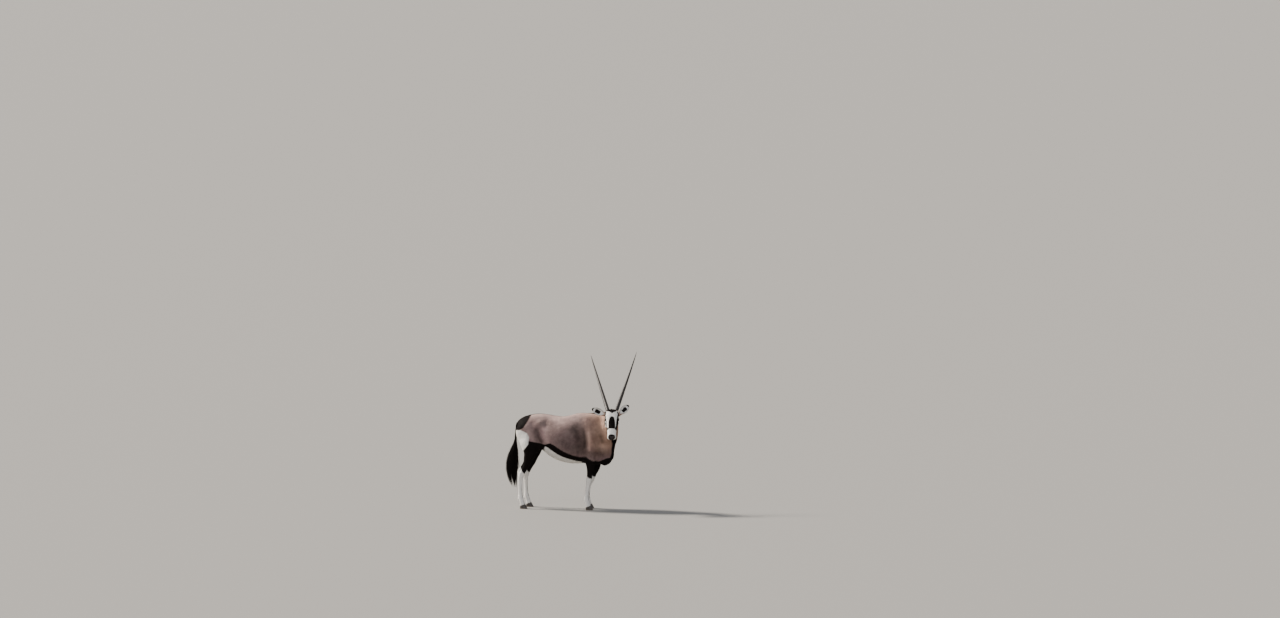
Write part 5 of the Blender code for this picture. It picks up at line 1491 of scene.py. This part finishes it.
# Tail
# A dock with short dark hair that hangs from the rump, and a long black tassel that reaches the hocks.
DOCK = (
    (-0.492, 1.066, 0.0205), (-0.500, 1.048, 0.0195), (-0.509, 1.022, 0.0175), (-0.517, 0.965, 0.0140),
    (-0.524, 0.900, 0.0120), (-0.532, 0.820, 0.0100), (-0.545, 0.720, 0.0080), (-0.555, 0.640, 0.0060),
    (-0.558, 0.600, 0.0000),
)
TASSEL = (
    (-0.526, 0.900, 0.0150, 0.0155), (-0.534, 0.840, 0.0235, 0.0210), (-0.546, 0.760, 0.0440, 0.0320),
    (-0.562, 0.670, 0.0640, 0.0410), (-0.574, 0.580, 0.0760, 0.0440), (-0.578, 0.480, 0.0780, 0.0440),
    (-0.570, 0.380, 0.0680, 0.0370), (-0.554, 0.290, 0.0430, 0.0230), (-0.536, 0.218, 0.0100, 0.0060),
)
TASSEL_HAIRS = 3300
TASSEL_LOCKS = 46
HAIR_STEPS = 9


def dock_place(u, v):
    rows = np.array(DOCK)
    at = np.asarray(v, float) * (len(rows) - 1)
    x, z, radius = (np.interp(at, range(len(rows)), rows[:, i]) for i in range(3))
    radius = np.where(np.asarray(v) <= 0, 0.0, radius)
    angle = 2 * math.pi * np.asarray(u, float)
    return np.column_stack([x + radius * np.cos(angle), radius * np.sin(angle), z]) + np.array(TRUNK)


dock = sheet_of("tail_dock", 22, 72, dock_place)
dock_points = points_of(dock.data)
dock_normals = normals_of(dock.data)
u, v = shares_of(dock.data)
for key, value in (("black_edge", -0.01), ("white_edge", 0.01), ("warmth", 0.0), ("own", 0.5), ("tip", 0.3)):
    give(dock.data, key, np.full(len(u), value))
give(dock.data, "strand", np.column_stack([u * 0.1, v * 0.5, 0 * u]))
dock.data.materials.append(SKIN_FINISH)
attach(dock, "root")
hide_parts("tail")


def dark_values(count, draw):
    return {"black_edge": np.full(count, -0.01), "white_edge": np.full(count, 0.01), "warmth": np.zeros(count),
            "own": draw.random(count), "strand": np.repeat(draw.random((count, 1)), 3, axis=1)}


corners, shares, draw = scattered(dock.data, 120000 * (dock_points[:, 2] > 0.74), 91)
roots = read_at(dock_points, corners, shares)
out = unit(read_at(dock_normals, corners, shares))
lie = np.tile((-0.06, 0.0, -1.0), (len(roots), 1))
lie = turned(unit(lie - out * (lie * out).sum(1)[:, None]), out, draw.normal(0, 0.15, len(roots)))
length = (0.012 + 0.030 * ramp(-roots[:, 2], -1.02, -0.80)) * draw.uniform(0.75, 1.25, len(roots))
hair_piece("dock_hair", bent(roots, out, lie, length, 0.12, 3), np.cross(out, lie), out,
           tapered(np.minimum(length * 0.12, 0.0018), 3), dark_values(len(roots), draw),
           np.column_stack([read_at(u, corners, shares), read_at(v, corners, shares)]) * 0.98 + 0.01)

# Every hair belongs to a lock, which draws its hairs together and ends in a wisp at its own height
draw = np.random.default_rng(92)
lock_angle = (np.arange(TASSEL_LOCKS) * 0.382 + 0.04 * draw.normal(0, 1, TASSEL_LOCKS)) % 1 * 2 * math.pi
lock_share = np.sqrt(draw.uniform(0.08, 1.0, TASSEL_LOCKS))
lock_tip = draw.uniform(0.225, 0.46, TASSEL_LOCKS)
lock_tip[::3] = draw.uniform(0.218, 0.28, len(lock_tip[::3]))
lock_bend = draw.normal(0, 0.010, (TASSEL_LOCKS, 2))
lock = draw.integers(0, TASSEL_LOCKS, TASSEL_HAIRS)
angle = lock_angle[lock] + draw.normal(0, 0.36, TASSEL_HAIRS)
share = np.clip(lock_share[lock] + draw.normal(0, 0.16, TASSEL_HAIRS), 0.1, 1.06)
root_height = draw.uniform(0.60, 0.93, TASSEL_HAIRS)
tip_height = np.clip(lock_tip[lock] + np.abs(draw.normal(0, 0.055, TASSEL_HAIRS)), 0.216, root_height - 0.12)
rows = np.array(TASSEL)[::-1]
dock_rows = np.array(DOCK)[::-1]
t = np.linspace(0, 1, HAIR_STEPS + 1)[None]
heights = root_height[:, None] + (tip_height - root_height)[:, None] * t
x, long, wide = (np.interp(heights, rows[:, 1], rows[:, i]) for i in (0, 2, 3))
core_x, core_radius = (np.interp(heights, dock_rows[:, 1], dock_rows[:, i]) for i in (0, 2))
leave = ramp(t, 0.0, 0.38)
gather = 0.82 * ramp(t, 0.30, 1.0)
swing = angle[:, None] + (lock_angle[lock] - angle)[:, None] * gather + 0.10 * np.sin(3.1 * t + lock[:, None]) * t
held = share[:, None] + (lock_share[lock] - share)[:, None] * gather
reach_x = core_radius + (long * held - core_radius) * leave
reach_y = core_radius + (wide * held - core_radius) * leave
bend = ramp(t, 0.5, 1.0)
paths = np.stack([
    core_x + (x - core_x) * leave + reach_x * np.cos(swing) + lock_bend[lock, :1] * bend,
    reach_y * np.sin(swing) + lock_bend[lock, 1:] * bend,
    heights,
], axis=2) + np.array(TRUNK)
out = np.column_stack([np.cos(angle), np.sin(angle), np.zeros(TASSEL_HAIRS)])
across = np.column_stack([-np.sin(angle), np.cos(angle), np.zeros(TASSEL_HAIRS)])
widths = tapered(draw.uniform(0.0016, 0.0030, TASSEL_HAIRS), HAIR_STEPS)
hair_piece("tassel", paths, across, out, widths, dark_values(TASSEL_HAIRS, draw),
           np.column_stack([angle / (2 * math.pi), root_height]) * 0.98 + 0.01)
